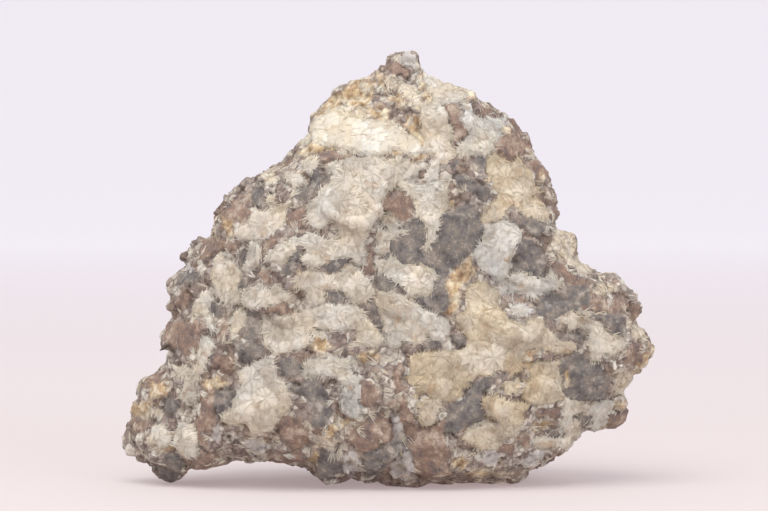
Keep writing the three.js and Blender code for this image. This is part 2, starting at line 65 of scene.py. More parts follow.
print(len(CRUSTS), "crusts on the lump, in a box of", box_sides, "mm")

# %% [markdown]
# Small helpers for meshes
#
# A finished mesh is made from plain lists of points and faces. Numbers that a material should follow, such
# as the distance to a fragment's edge, are stored on the mesh's points as attributes.

# %% Helpers for meshes


def deselect_all():
    bpy.ops.object.select_all(action="DESELECT")


def mesh_object(name, points, faces):
    mesh = bpy.data.meshes.new(name)
    mesh.from_pydata(points, [], faces)
    made = bpy.data.objects.new(name, mesh)
    bpy.context.collection.objects.link(made)
    return made


def point_values(obj, name, values):
    stored = obj.data.attributes.new(name, "FLOAT", "POINT")
    stored.data.foreach_set("value", np.asarray(values, dtype=np.float32))


def point_vectors(obj, name, values):
    stored = obj.data.attributes.new(name, "FLOAT_VECTOR", "POINT")
    stored.data.foreach_set("vector", np.asarray(values, dtype=np.float32).ravel())


print("mesh helpers ready")

# %% [markdown]
# The lump's fine surface
#
# A real breccia breaks around its fragments, so its faces are a patchwork of small flat steps with cracks
# between them. Sculpting that by hand is slow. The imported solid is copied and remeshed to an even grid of
# points, fine enough for steps of a millimetre and still under 200,000 triangles, and is carved further
# down.

# %% Copy the lump and remesh it
VOXEL = 0.42 * MM
MERGE_WITHIN = 0.002 * MM


def merged_copy(node, name):
    deselect_all()
    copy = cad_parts[node].copy()
    copy.data = copy.data.copy()
    copy.name = name
    copy.parent = None
    bpy.context.collection.objects.link(copy)
    copy.select_set(True)
    bpy.context.view_layer.objects.active = copy
    bpy.ops.object.mode_set(mode="EDIT")
    bpy.ops.mesh.select_all(action="SELECT")
    bpy.ops.mesh.remove_doubles(threshold=MERGE_WITHIN)
    bpy.ops.object.mode_set(mode="OBJECT")
    return copy


def apply_modifier(obj, kind, **settings):
    bpy.context.view_layer.objects.active = obj
    modifier = obj.modifiers.new(kind.title(), kind)
    for setting, value in settings.items():
        setattr(modifier, setting, value)
    bpy.ops.object.modifier_apply(modifier=modifier.name)


lump = merged_copy("matrix_rock", "lump")
apply_modifier(lump, "REMESH", mode="VOXEL", voxel_size=VOXEL)
apply_modifier(lump, "SMOOTH", factor=0.5, iterations=1)
print("the lump has", len(lump.data.vertices), "points")

# %% [markdown]
# Noise over the lump's points
#
# Broken stone is not smooth noise: it has flat faces that meet in cracks. Cell noise gives that. Every
# point belongs to the nearest of many scattered centres, and each centre owns a small face with a height
# and a tilt of its own. The edge between two cells is where the crack runs. Smooth noise adds what is left:
# a slow swell, a fine grain, and a shaking of the outlines that are drawn further down.

# %% Noise fields over the lump's points
CELL, BIG_CELL = 2.3, 5.5  # widths of a small and of a large fragment, in mm
SWELL, GRAIN = 4.0, 0.9  # widths of the slow and of the fine noise, in mm
BEND_WIDTH, FRAY_WIDTH = 2.0, 0.8  # widths of the two noises that shake an outline, in mm
CRACK_WANDER, CRACK_RATE = 0.16, 2.6  # how far cracks leave a straight line, in cells, and how often
FACE_TILT = 1.1
CENTRE_KEY = 7.31  # turns a centre's place into its own chance numbers


def read_points(obj):
    count = len(obj.data.vertices)
    places = np.empty(count * 3)
    normals = np.empty(count * 3)
    obj.data.vertices.foreach_get("co", places)
    obj.data.vertices.foreach_get("normal", normals)
    return places.reshape(-1, 3) / MM, normals.reshape(-1, 3)


def broken_cells(places, size, seed):
    """The border distance, the height of the cell's tilted face, and a number per cell, for each point."""
    rows = []
    for place in places:
        at = Vector(place) / size + Vector((seed, 0, 0))
        at += CRACK_WANDER * noise.noise_vector(at * CRACK_RATE)
        distances, centres = noise.voronoi(at)
        own = noise.cell_vector(centres[0] * CENTRE_KEY)
        face = own.z - 0.5 + FACE_TILT * (own - Vector((0.5, 0.5, 0.5))).dot(at - centres[0])
        rows.append((distances[1] - distances[0], face, own.x))
    return np.array(rows).T


def shaking(place):
    bend = noise.noise_vector(Vector(place) / BEND_WIDTH)
    return bend + 0.5 * noise.noise_vector(Vector(place) / FRAY_WIDTH)


places, normals = read_points(lump)
border, face, _ = broken_cells(places, CELL, seed=11.0)
big_border, big_face, _ = broken_cells(places, BIG_CELL, seed=4.0)
broad = np.array([noise.fractal(Vector(place) / SWELL, 1.0, 2.0, 3) for place in places])
grain = np.array([noise.fractal(Vector(place) / GRAIN, 0.8, 2.1, 2) for place in places])
warp = np.array([shaking(place) for place in places])
print("cell faces from", round(face.min(), 2), "to", round(face.max(), 2))

# %% [markdown]
# Where the camera sees each point
#
# The fragments and mats of the best face are drawn over the photograph, so the script has to know
# where the camera sees each point of the lump. The camera stands nearly level with the lump, with a long
# lens. It is worked out here, in mm, and made at the end. Each point is projected with plain arithmetic: its
# offset from the aim is split into right, up and towards the camera, and the first two grow as it comes
# nearer. The drawing's zero is the middle of the lump's foot.

# %% The camera's place
FRAME_WIDTH = 114.9  # what the frame is wide at the lump
PIXELS_WIDE, PIXELS_HIGH, PIXEL = 768, 511, 0.15  # the last is one pixel's width in the drawing, in mm
DRAWING_ZERO = (388.5, 482.0)  # in pixels of the photograph
ELEVATION = math.radians(2.2)
LENS, SENSOR_WIDTH = 200.0, 36.0
AIM = Vector((-0.25, 0, 33.8))
DISTANCE = FRAME_WIDTH * LENS / SENSOR_WIDTH
towards_camera = Vector((0, -math.cos(ELEVATION), math.sin(ELEVATION)))
camera_up = Vector((0, math.sin(ELEVATION), math.cos(ELEVATION)))


def as_seen(points):
    """Each point's place in the drawing, in mm to the right and up."""
    offset = points - np.array(AIM)
    scale = DISTANCE / (DISTANCE - offset @ np.array(towards_camera)) * PIXELS_WIDE / FRAME_WIDTH
    right = PIXELS_WIDE / 2 + offset[:, 0] * scale
    down = PIXELS_HIGH / 2 - offset @ np.array(camera_up) * scale
    return (right - DRAWING_ZERO[0]) * PIXEL, (DRAWING_ZERO[1] - down) * PIXEL


seen_x, seen_z = as_seen(places)
print("the drawing covers", round(seen_x.min()), "to", round(seen_x.max()), "mm")

# %% [markdown]
# Where the stone changes
#
# On the best face the larger fragments are placed from the photograph: slate-grey ones in the
# middle, brown ones near the foot and the rim, ochre stains and one smooth cream scar near the top. An
# image texture would be quicker, but it would carry the photograph's light with it and smear at the sides.
# So each fragment is drawn as the few corners of its outline, and the distance inside it is stored on the
# points. The shader can then draw a crisp, slightly ragged edge.

# %% Outlines of the fragments on the best face
# In mm on the front, as x and z of each corner
FRAGMENTS = {
    "brown": [
        [(-0.4, 62.8), (1, 63.4), (2.2, 62.8), (3.4, 61.6), (3.2, 60.8), (1.8, 60.6), (0.2, 61)],
        [(15.4, 50.2), (16.6, 51.6), (18, 52), (19.6, 51.8), (20.6, 51.2), (21.8, 49.4), (19.6, 48.8),
         (19, 47.8), (17.8, 48.2), (16.6, 49)],
        [(10.2, 55.6), (10.6, 54.2), (11.6, 53.2), (11.8, 51.8), (10.2, 51.2), (9.4, 51.4), (9.8, 53),
         (9, 54.6), (8, 56.6), (9.6, 57.2)],
        [(12.8, 57.4), (13.8, 56.6), (15.4, 56), (16.6, 55), (15.2, 54), (13.2, 54.8)],
        [(17.8, 54.6), (19, 55.4), (20, 53.8), (20.8, 52.4), (19.6, 52)],
        [(20.6, 48), (22.6, 48.2), (23.8, 47.2), (24, 46), (23, 44.6), (22, 45.8)],
        [(22.8, 43.8), (24, 42.6), (24.4, 41), (23.6, 41.6), (22.6, 43)],
        [(24.8, 41.8), (25.8, 40), (25, 39.2), (24.4, 40.4)],
        [(-1, 43.6), (0.6, 44), (1.6, 43.2), (3.6, 42.8), (3.8, 41), (3.4, 39.6), (1.8, 38.8), (0.6, 39.6),
         (-0.8, 40.6)],
        [(-3.4, 33.8), (-2.2, 34.4), (-2, 32), (-2.4, 31), (-4, 30.6), (-3.8, 32.2)],
        [(-15.6, 39.8), (-14.2, 41.2), (-12.6, 41.2), (-12, 40), (-13.2, 38.2), (-14.4, 38)],
        [(-10.4, 49.6), (-8.6, 49.8), (-7, 48.8), (-6.8, 47.9), (-9.6, 48.2), (-10.6, 49)],
        [(-25.4, 39.6), (-24.2, 42), (-22, 43.6), (-20.8, 42.6), (-20.6, 40), (-21.6, 38.4), (-23, 39.2),
         (-23.4, 37.4), (-25.2, 38)],
        [(-28.4, 36), (-26.2, 36.9), (-23.8, 36), (-22.6, 35.6), (-22.8, 34.4), (-25, 34.8), (-26.6, 34),
         (-28.4, 33)],
        [(-19, 35), (-18, 36.2), (-16.6, 37.4), (-15.6, 36.8), (-17, 35.6), (-18.2, 34)],
        [(-20.4, 31), (-18.4, 32.4), (-18, 30.6), (-18.6, 29.8)],
        [(-33.8, 24), (-31, 24), (-29.4, 23.4), (-27.6, 22.6), (-27.4, 20.4), (-28, 19.2), (-30.4, 19.2),
         (-32, 20), (-33.6, 21.6)],
        [(-31.6, 25.6), (-30, 26.6), (-29.4, 28.4), (-30.6, 28.6), (-32.8, 27)],
        [(-27, 18.8), (-25.4, 19.6), (-23.8, 19.2), (-22.8, 17.6), (-23.6, 16.2), (-25.8, 16.8)],
        [(-28.2, 14.8), (-26.4, 14.6), (-25.4, 13.6), (-26.2, 11), (-26, 9), (-27.2, 6.4), (-27.6, 4.6),
         (-28.6, 5.4), (-28.8, 9)],
        [(-36.8, 15.8), (-34.2, 17), (-33, 16), (-32.8, 14.2), (-34.6, 13.6), (-37, 14.2)],
        [(-38.6, 9), (-36, 9.6), (-35.4, 8), (-36.8, 7.4), (-38.4, 7.8)],
        [(-16.7, 8.2), (-15.8, 10), (-14.4, 9.6), (-12.4, 9.2), (-11.6, 7.2), (-12.2, 5), (-14, 4.6),
         (-15.6, 5.8)],
        [(-18, 4.4), (-14.8, 4.6), (-12.4, 4.4), (-11.6, 3.4), (-13, 2.4), (-17.6, 3.2)],
        [(-5.8, 7.6), (-3.6, 9.2), (-2, 10.4), (-0.6, 10.4), (0.6, 9), (0.8, 6.4), (-2.2, 4.8), (-4.4, 3.6),
         (-5.2, 5)],
        [(-4.2, 15.4), (-2.2, 15), (-1.2, 12.8), (-2, 11), (-4.8, 11.8), (-4.6, 13.6)],
        [(0.8, 17.4), (2.2, 17.8), (2.2, 14), (3, 11), (4.4, 8.2), (6.8, 8.4), (8.6, 9.8), (8.6, 7.2),
         (9.2, 4.6), (9.2, 1.4), (6.6, 0.3), (4.2, 0.8), (3.6, 4), (2.6, 6.4), (1.8, 9.6), (1.4, 12)],
        [(16.2, 5.6), (17, 6.2), (19, 6.4), (19.2, 4.2), (17.6, 3.8), (16, 4.4)],
        [(19.6, 7.2), (21, 7), (21.4, 5.6), (20.6, 4.6), (19.8, 5.6)],
        [(21.6, 10), (24, 10.8), (26, 11.2), (26, 9.6), (24, 9.4)],
        [(23.8, 34), (25.4, 33.2), (27.6, 31.2), (29.6, 30.2), (30.6, 28.6), (30.2, 27.2), (28.4, 28.6),
         (26.4, 30.2), (24.6, 31.8)],
        [(28.6, 28), (30.6, 27.4), (33, 27.2), (34.6, 28.2), (36.4, 27), (36, 25.8), (35, 25.2), (33, 25.4),
         (30, 25.6), (28.4, 26.2)],
        [(36.2, 26.4), (38, 26.4), (37.8, 24.2), (36.6, 24.4)],
        [(32.2, 8.6), (33, 9.8), (34.2, 10.6), (36.2, 11), (36, 9.6), (34.4, 7.8), (32.8, 6.8), (32, 7.4)],
        [(25.4, 4.6), (27.6, 5), (29.4, 6.6), (29.6, 5.4), (27.6, 3.8), (25.8, 3.2)],
        [(22.6, 2.6), (24.4, 3.6), (25.6, 3.2), (24.6, 1.6), (23, 1.2)],
        [(-19, 26.4), (-17.6, 27.2), (-15.8, 27), (-14, 26), (-13.4, 25.2), (-16, 24.8), (-18, 25.4)],
        [(34.6, 19.4), (36, 20.4), (37.6, 21), (38.6, 19), (37.8, 17.4), (35.6, 18)],
        [(-24.8, 24.2), (-23.8, 24.4), (-23.9, 22.2), (-25.6, 21.8)],
        [(-29.4, 3.4), (-26.4, 4.6), (-25, 4.2), (-26, 2.2), (-29.6, 1.2)],
    ],
    "slate": [
        [(-2.6, 39.8), (0, 38.4), (3.8, 39.4), (5, 40), (8, 40.4), (10, 41.2), (12, 41.8), (14, 40.8),
         (14.2, 38), (13.8, 36.4), (13, 34.6), (11, 33.4), (10.4, 32.6), (8.8, 31.2), (8.8, 29.6), (9, 27),
         (8.8, 25.2), (7, 25), (5.4, 26), (4.4, 27), (2, 28.4), (0.6, 29.8), (-1, 30.6), (-2.2, 31.6),
         (-2, 33), (-1, 34), (0, 35.8), (-2, 38)],
        [(9.6, 46.2), (11, 46.3), (13.4, 45.4), (14.8, 43.6), (15.2, 42.4), (14.4, 41.8), (13, 43),
         (11, 43.6), (10, 44.4)],
        [(8.4, 47), (10, 48.1), (12.4, 48.2), (14, 49.2), (14.8, 48.6), (14.8, 46.2), (13.4, 46.4),
         (13, 47.4), (10.6, 47.4)],
        [(18.1, 31.6), (18.4, 33.6), (18.9, 35.2), (20, 36.4), (21.6, 36.4), (22.6, 35.4), (23.4, 34.2),
         (24.4, 33), (23.8, 31.2), (22.6, 30.6), (20, 31)],
        [(17.8, 40.4), (20, 40.4), (22.6, 39.8), (23.4, 38.6), (22.8, 36.6), (21.6, 37.2), (20, 38.2),
         (18.6, 38.8)],
        [(22, 27.8), (24.6, 28.4), (26, 29.2), (28, 29.6), (30, 29.4), (30.4, 27), (28, 25.4), (26.4, 24.8),
         (24, 24.2), (22, 24.8), (22.2, 26.4)],
        [(31, 25.2), (33, 25.3), (35.6, 24.4), (35.9, 22.4), (35.2, 21.6), (33, 22.6), (31.2, 24)],
        [(16.8, 25.8), (18, 25.2), (19.6, 24.4), (20.8, 24.4), (20.6, 22.4), (18.6, 23.6), (17, 24.8)],
        [(25.6, 18.4), (28, 19.4), (31.6, 18.2), (32.8, 16.4), (33.2, 14), (32.8, 12.2), (30, 12),
         (27.2, 12), (26, 14), (25.7, 16)],
        [(24.4, 23.2), (26.4, 22.4), (28, 22.8), (30, 22.4), (28.8, 20.6), (26.6, 20.4), (25, 21.2)],
        [(27.7, 10.1), (30.5, 10.1), (30.2, 8.9), (28.8, 8.4)],
        [(21.6, 5.9), (26.5, 7.8), (26.3, 6.3), (23.6, 5.7)],
        [(8.4, 7), (8.4, 9.4), (9, 11.6), (11, 12.4), (11.8, 14.2), (13.4, 15.2), (15.6, 16.4), (16.2, 15),
         (14.8, 13.8), (14.2, 11.6), (14.8, 10.4), (13.6, 8.8), (11.2, 7.8), (10, 7.2)],
        [(-16, 15), (-13.8, 13), (-12.6, 12.4), (-11.6, 12), (-11.6, 9.6), (-10.6, 7.8), (-9.6, 8.8),
         (-8.4, 10.4), (-8.4, 12.2), (-9.4, 14), (-9.8, 15.8), (-12.2, 16), (-13, 14.6)],
        [(-17, 16.6), (-16.2, 18.4), (-14.4, 18.6), (-12.8, 17.4), (-13, 15.9), (-15, 15.7)],
        [(-24, 21.6), (-22, 20.9), (-19, 20.9), (-19.2, 18.4), (-21, 17.4), (-22.2, 17.6), (-23, 19.6)],
        [(-27, 26.8), (-25.4, 26.9), (-24.4, 25.2), (-25, 24.4), (-26.8, 25)],
        [(-21.8, 25.4), (-19.8, 26), (-18.6, 24.6), (-18.8, 22), (-20, 20.9), (-21.8, 21.2), (-22.2, 23.4)],
        [(-3.3, 27.8), (-2.3, 27.5), (-1.3, 25.6), (-0.8, 24), (-0.1, 21.6), (-1, 21.8), (-2, 23.8),
         (-3.9, 25.8)],
        [(-10, 28.9), (-7.4, 28.9), (-6.1, 27.4), (-7.4, 26.4), (-9.6, 26.4)],
        [(-10.2, 32.4), (-8.6, 33), (-7.4, 33.6), (-5.4, 33.6), (-6.8, 31.8), (-8.6, 31)],
        [(-23, 34.4), (-21.4, 34.8), (-20.6, 33.6), (-21.4, 32.2), (-23.2, 32.4)],
        [(-23.2, 30.4), (-21, 29.8), (-21.4, 28.6), (-22.8, 27.8)],
        [(-20.2, 44.2), (-18.8, 44.4), (-18, 42), (-17.4, 40.8), (-20, 41), (-20.6, 42.6)],
        [(-12.2, 42), (-14.8, 43), (-13.4, 44.1), (-12, 44.6), (-11.6, 46.6), (-10.2, 47), (-9.8, 45),
         (-10.8, 43)],
        [(-9.6, 47.2), (-8.1, 46.8), (-8.1, 44.9), (-9.4, 44.7)],
        [(-16.8, 46.2), (-15.4, 46.2), (-14.2, 44.2), (-15.8, 44.2)],
        [(4.6, 21.6), (7.8, 21.2), (8.2, 20.4), (6, 19.5), (4.6, 19.7)],
        [(9.2, 21.7), (11.4, 22.5), (11.8, 20.8), (10.2, 20)],
        [(-35.2, 2.6), (-33.4, 4.2), (-31.6, 3.8), (-30.6, 2.4), (-32.8, -1)],
        [(-34.2, 12.6), (-32.6, 13.2), (-31.2, 11.4), (-32.6, 9.7), (-34, 10.8)],
        [(-26, 14), (-24.4, 14.2), (-23, 13), (-23.4, 11), (-25.4, 10.4), (-26, 8), (-26.3, 11)],
        [(-10, 4.8), (-7.4, 4.6), (-6.8, 1.6), (-8.6, 0.4), (-10.6, 0.8), (-11.4, 2.8)],
        [(-4.4, 3.5), (-2.6, 4.6), (0.6, 5.8), (0.8, 3), (-1.4, 1), (-3.2, 0.4)],
        [(-8.3, 14.6), (-6.2, 16.4), (-5.9, 15.6), (-6.8, 14.6), (-7, 12)],
        [(-2.2, 31), (0.4, 30.6), (2, 28.8), (0.4, 28), (-1.4, 28.6)],
        [(-16.4, 31.2), (-14.8, 31), (-13.2, 33.8), (-12.8, 34.4), (-13.6, 35), (-15, 33.2)],
        [(-31, 31.8), (-28.6, 31.6), (-28.2, 30), (-29.4, 29.2), (-31.6, 29.4)],
    ],
    "ochre": [
        [(-11.6, 55.4), (-9.4, 56.4), (-8.6, 57.8), (-6.4, 59), (-4, 60), (-2.2, 60.6), (-1.8, 58.6),
         (-3, 57.2), (-4.2, 56), (-6.4, 56.8), (-8, 56.2), (-10.4, 54.8)],
        [(-1.8, 61.2), (-0.4, 61.2), (0.4, 60), (-0.2, 59.2), (-1.6, 59.6)],
        [(-3, 56), (-1.6, 56.8), (0, 55.7), (0.2, 54.8), (-2.2, 54.8)],
        [(-1, 58.2), (0.6, 58.7), (1.8, 58.2), (2.4, 57), (2, 55.8), (1.2, 57.2), (0.2, 57.4)],
        [(2.4, 55.2), (4, 55.2), (5.2, 54), (5, 52.6), (5.6, 50.2), (4.6, 50.4), (3.6, 52.4), (2.6, 53.6)],
        [(3, 49), (5.4, 49.3), (6.4, 48.8), (4.6, 48.1)],
        [(0.2, 49.4), (1.4, 50), (2.4, 49.2), (1, 48.6)],
        [(4.8, 61), (5.7, 60.4), (5.4, 58.4), (6.7, 58.4), (6.8, 57.2), (5.4, 57.2), (4.4, 59.6)],
        [(11.6, 58.4), (12.8, 58.4), (13.4, 57.2), (12, 57.4)],
        [(17, 53.4), (18.2, 52.8), (18.4, 52), (17.2, 52.2)],
        [(22.8, 46.4), (23.8, 45.4), (22.8, 44.6)],
        [(-13.8, 49.6), (-12, 50.5), (-9.6, 50.6), (-7, 50.1), (-5.6, 48.6), (-5.4, 46.2), (-6.2, 48.8),
         (-7, 49.6), (-8.8, 50), (-12.6, 49)],
        [(-25, 39.2), (-23.4, 39.4), (-23.2, 37), (-24.2, 37)],
        [(9.2, 30.6), (11, 32.8), (12.6, 33.8), (13, 32), (12.8, 30.8), (11.2, 29.8), (10.6, 28.4),
         (10.4, 26), (9.8, 24.2), (8.6, 25), (9.2, 27), (8.7, 28.6), (8.6, 30)],
        [(7, 44), (8.4, 43.6), (8.6, 42.2), (9.8, 42.2), (9.6, 41), (7.8, 41.8)],
        [(-11.4, 21.6), (-9.6, 21.8), (-8.2, 20.4), (-10, 19.2), (-12.2, 20.2)],
        [(21.4, 9.2), (23.6, 9), (25, 8.6), (24, 7.8), (21.8, 7.2)],
        [(20.4, 19.8), (22.4, 20.4), (21.6, 18.4), (20.7, 16.2), (20.1, 17.6)],
        [(18.5, 15), (19.8, 15.5), (19.4, 13.7)],
        [(-28.2, 15), (-26, 15.7), (-23.6, 14.8), (-25.6, 14.2), (-27.6, 14)],
        [(-38.8, 12), (-36.6, 11.8), (-34.4, 12.2), (-36.2, 10.4), (-37.6, 9.6), (-39, 10.8)],
        [(-33.4, 5.9), (-32, 5), (-33.4, 4.4), (-34.6, 5.2)],
        [(-8.4, 8.7), (-5.2, 9.8), (-6.2, 8.4), (-8, 7), (-9.4, 6), (-9.8, 7.6)],
        [(9.5, 3.2), (11.2, 4), (12.2, 2.8), (11, 1.7), (9.7, 2)],
        [(11.6, 1.5), (14.6, 1.8), (15.4, 0.6), (12.4, 0.4)],
        [(37.8, 17), (39, 19), (40.4, 21), (39.2, 21.2), (38.2, 19), (36.4, 16.2)],
        [(33.2, 12.3), (35.6, 12), (35.6, 11), (34, 11.2)],
        [(-4.2, 19.5), (-2.2, 19.7), (-1, 18.6), (-3.2, 17.7), (-4.8, 18.2)],
        [(-12, 3.6), (-11, 4.8), (-10.8, 2.4), (-11.8, 2)],
        [(-35.6, 14.8), (-33.6, 14.8), (-33, 13), (-35.4, 12.6)],
        [(26.6, 17), (27.2, 16.8), (27.2, 14.2), (26.6, 14.4)],
    ],
    "cream": [
        [(30.4, 29.2), (32, 30), (34.6, 28.9), (33, 28.3), (31, 27.9)],
        [(24.2, 34.6), (24.8, 38.4), (26, 38.4), (27.8, 36.4), (28.6, 34), (31, 32.6), (29.6, 30.8),
         (27.4, 32.4), (25.6, 33.8)],
        [(36.6, 23.6), (38.4, 23.8), (39.9, 22.4), (38.4, 21.1), (36.8, 21.6)],
        [(34, 17), (36.6, 17), (37, 15), (35.6, 12.8), (33.8, 13.2), (33.6, 15.4)],
        [(0.6, 61), (2, 60.4), (4, 59), (5.2, 57), (5.8, 56), (4.4, 55.5), (2.8, 57), (1.8, 58.6),
         (0.4, 59)],
        [(-9.4, 55.4), (-7, 56.6), (-4.4, 55.8), (-3, 57), (-2.2, 56.4), (-3, 54.4), (-7, 55)],
        [(-37.4, 10), (-35, 11.2), (-34, 10.4), (-36.4, 9.2)],
        [(35, 26.6), (35.6, 26.4), (36.8, 23.4), (36.2, 22.8)],
        [(-11, 7.2), (-9.6, 6.8), (-7, 5.8), (-8.4, 4.9), (-11, 5)],
        [(12.6, 2), (13.6, 2.6), (16, 1.8), (19, 1.4), (16.4, 0.4), (14.2, 1)],
        [(-19.4, 47), (-17, 46.4), (-16.6, 44.4), (-18.6, 44.6)],
    ],
    "pale": [
        [(0.6, 6.4), (2.2, 5.6), (3.4, 4.6), (3.8, 2.6), (4, 0.2), (2, 0.2), (0.2, 1.2), (0.8, 3.6)],
        [(1.6, 63.4), (2.8, 65), (4.6, 62.8), (3.4, 61.4)],
        [(-6.9, 3.8), (-5.2, 4.6), (-4.4, 3.2), (-4.4, 1.4), (-6, 0.9), (-7, 2)],
        [(0.6, 9.8), (2, 9.8), (2.4, 7), (1.6, 6), (0.6, 6.6)],
        [(-3.4, 23.4), (-2.2, 23.2), (-0.8, 21.8), (-1.6, 20.4), (-3.6, 20.6)],
        [(18.4, 26.6), (20.4, 26.8), (21.8, 25.4), (21, 24.6), (19.2, 25)],
        [(-13.6, 47.9), (-11.4, 48.8), (-10.6, 47.6), (-11.6, 46.2), (-13.4, 46.4)],
        [(-31.4, 31.9), (-29.6, 32.9), (-28.8, 31.9), (-30.4, 31.2)],
        [(-35.4, 8.4), (-34.2, 8.6), (-33, 7), (-34, 6), (-35.6, 6.4)],
        [(13, 4.6), (15.6, 5), (17, 4), (16.2, 2.6), (14.2, 3)],
        [(20.4, 3.8), (23, 5.2), (24.6, 5), (22.6, 3), (20.2, 2.2)],
        [(-21.4, 6.2), (-19, 6.6), (-17.6, 5.2), (-19.6, 4.2), (-22, 4.6)],
        [(10.6, 45.8), (12.4, 44.8), (11.6, 43.9), (10.8, 44.6)],
        [(-26.8, 10.2), (-25.9, 10.2), (-24.8, 6), (-26, 5.6), (-26.6, 7.4)],
        [(15.8, 39.8), (17.4, 40.4), (18.2, 39.2), (17, 38.9)],
    ],
}
print({kind: len(outlines) for kind, outlines in FRAGMENTS.items()})

# %% [markdown]
# How deep inside an outline
#
# For each point the distance to the nearest side of an outline is worked out for all points at once. A
# point is inside when a line drawn from it to one side crosses the outline an odd number of times. Only the
# front uses the drawing: it fades out where the stone turns away from the camera.

# %% Distance inside the fragments, on the front
OUTSIDE = -2.0  # the value far outside of every outline, in mm
FAR = 9.0  # more than any distance that is measured
MARGIN = 1  # how far round an outline points are measured, in mm
TURN_LIMIT, TURN_FADE = 0.2, 0.15  # how far a face may turn away from the camera
BACK_LIMIT, BACK_FADE = 4, 3  # how far behind the middle the drawing may reach, in mm
FRONT_SHAKE, SIDE_SHAKE = 0.45, 1.6  # how far an outline is shaken, in mm
SIDE_ON = 0.45  # a face that looks less than this towards the camera counts as a side


def distance_in_outlines(x, z, outlines):
    """How far each place is inside the nearest outline, in mm; outside, the same with a minus."""
    best = np.full(len(x), OUTSIDE)
    for outline in outlines:
        corners = np.array(outline)
        low, high = corners.min(axis=0) - MARGIN, corners.max(axis=0) + MARGIN
        near = np.flatnonzero((x > low[0]) & (x < high[0]) & (z > low[1]) & (z < high[1]))
        px, pz = x[near], z[near]
        nearest = np.full(len(near), FAR)
        within = np.zeros(len(near), dtype=bool)
        for (x0, z0), (x1, z1) in zip(corners, np.roll(corners, -1, axis=0)):
            run, rise = x1 - x0, z1 - z0
            along = np.clip(((px - x0) * run + (pz - z0) * rise) / (run**2 + rise**2), 0, 1)
            nearest = np.minimum(nearest, np.hypot(px - x0 - along * run, pz - z0 - along * rise))
            if z0 != z1:
                within ^= ((z0 > pz) != (z1 > pz)) & (px < x0 + (pz - z0) * run / rise)
        best[near] = np.maximum(best[near], np.where(within, nearest, -nearest))
    return best


facing_front = np.clip((TURN_LIMIT - normals[:, 1]) / TURN_FADE, 0, 1)
facing_front *= np.clip((BACK_LIMIT - places[:, 1]) / BACK_FADE, 0, 1)
# The drawing is seen edge-on at the sides, so it is shaken more there, where it would make stripes
shake = FRONT_SHAKE + SIDE_SHAKE * np.clip(1 + normals[:, 1] / SIDE_ON, 0, 1) ** 2
inside = {}
for kind, outlines in FRAGMENTS.items():
    found = distance_in_outlines(seen_x + shake * warp[:, 0], seen_z + shake * warp[:, 2], outlines)
    inside[kind] = OUTSIDE + (found - OUTSIDE) * facing_front
print(round(100 * np.mean(facing_front > 0.5)), "% of the points take their stone from the drawing")

# %% [markdown]
# The stone behind
#
# The photograph doesn't show the back. There every cell of a coarse pattern is one fragment, and its kind
# is a matter of chance, with about as much of each kind as on the front.

# %% Fragments on the back
CHUNK = 7.5  # width of a fragment, in mm
KINDS_BEHIND = {"slate": (0.0, 0.24), "brown": (0.24, 0.46), "ochre": (0.46, 0.56), "pale": (0.56, 0.68)}
chunk_border, _, chunk_tone = broken_cells(places, CHUNK, seed=23.0)
for kind, (low, high) in KINDS_BEHIND.items():
    chosen = (chunk_tone >= low) & (chunk_tone < high)
    found = np.where(chosen, chunk_border * CHUNK / 2 - 0.5 + 0.5 * warp[:, 0], OUTSIDE)
    inside[kind] = np.maximum(inside[kind], OUTSIDE + (found - OUTSIDE) * (1 - facing_front))
for kind, values in inside.items():
    print(kind, "covers", int((values > 0).sum()), "points")
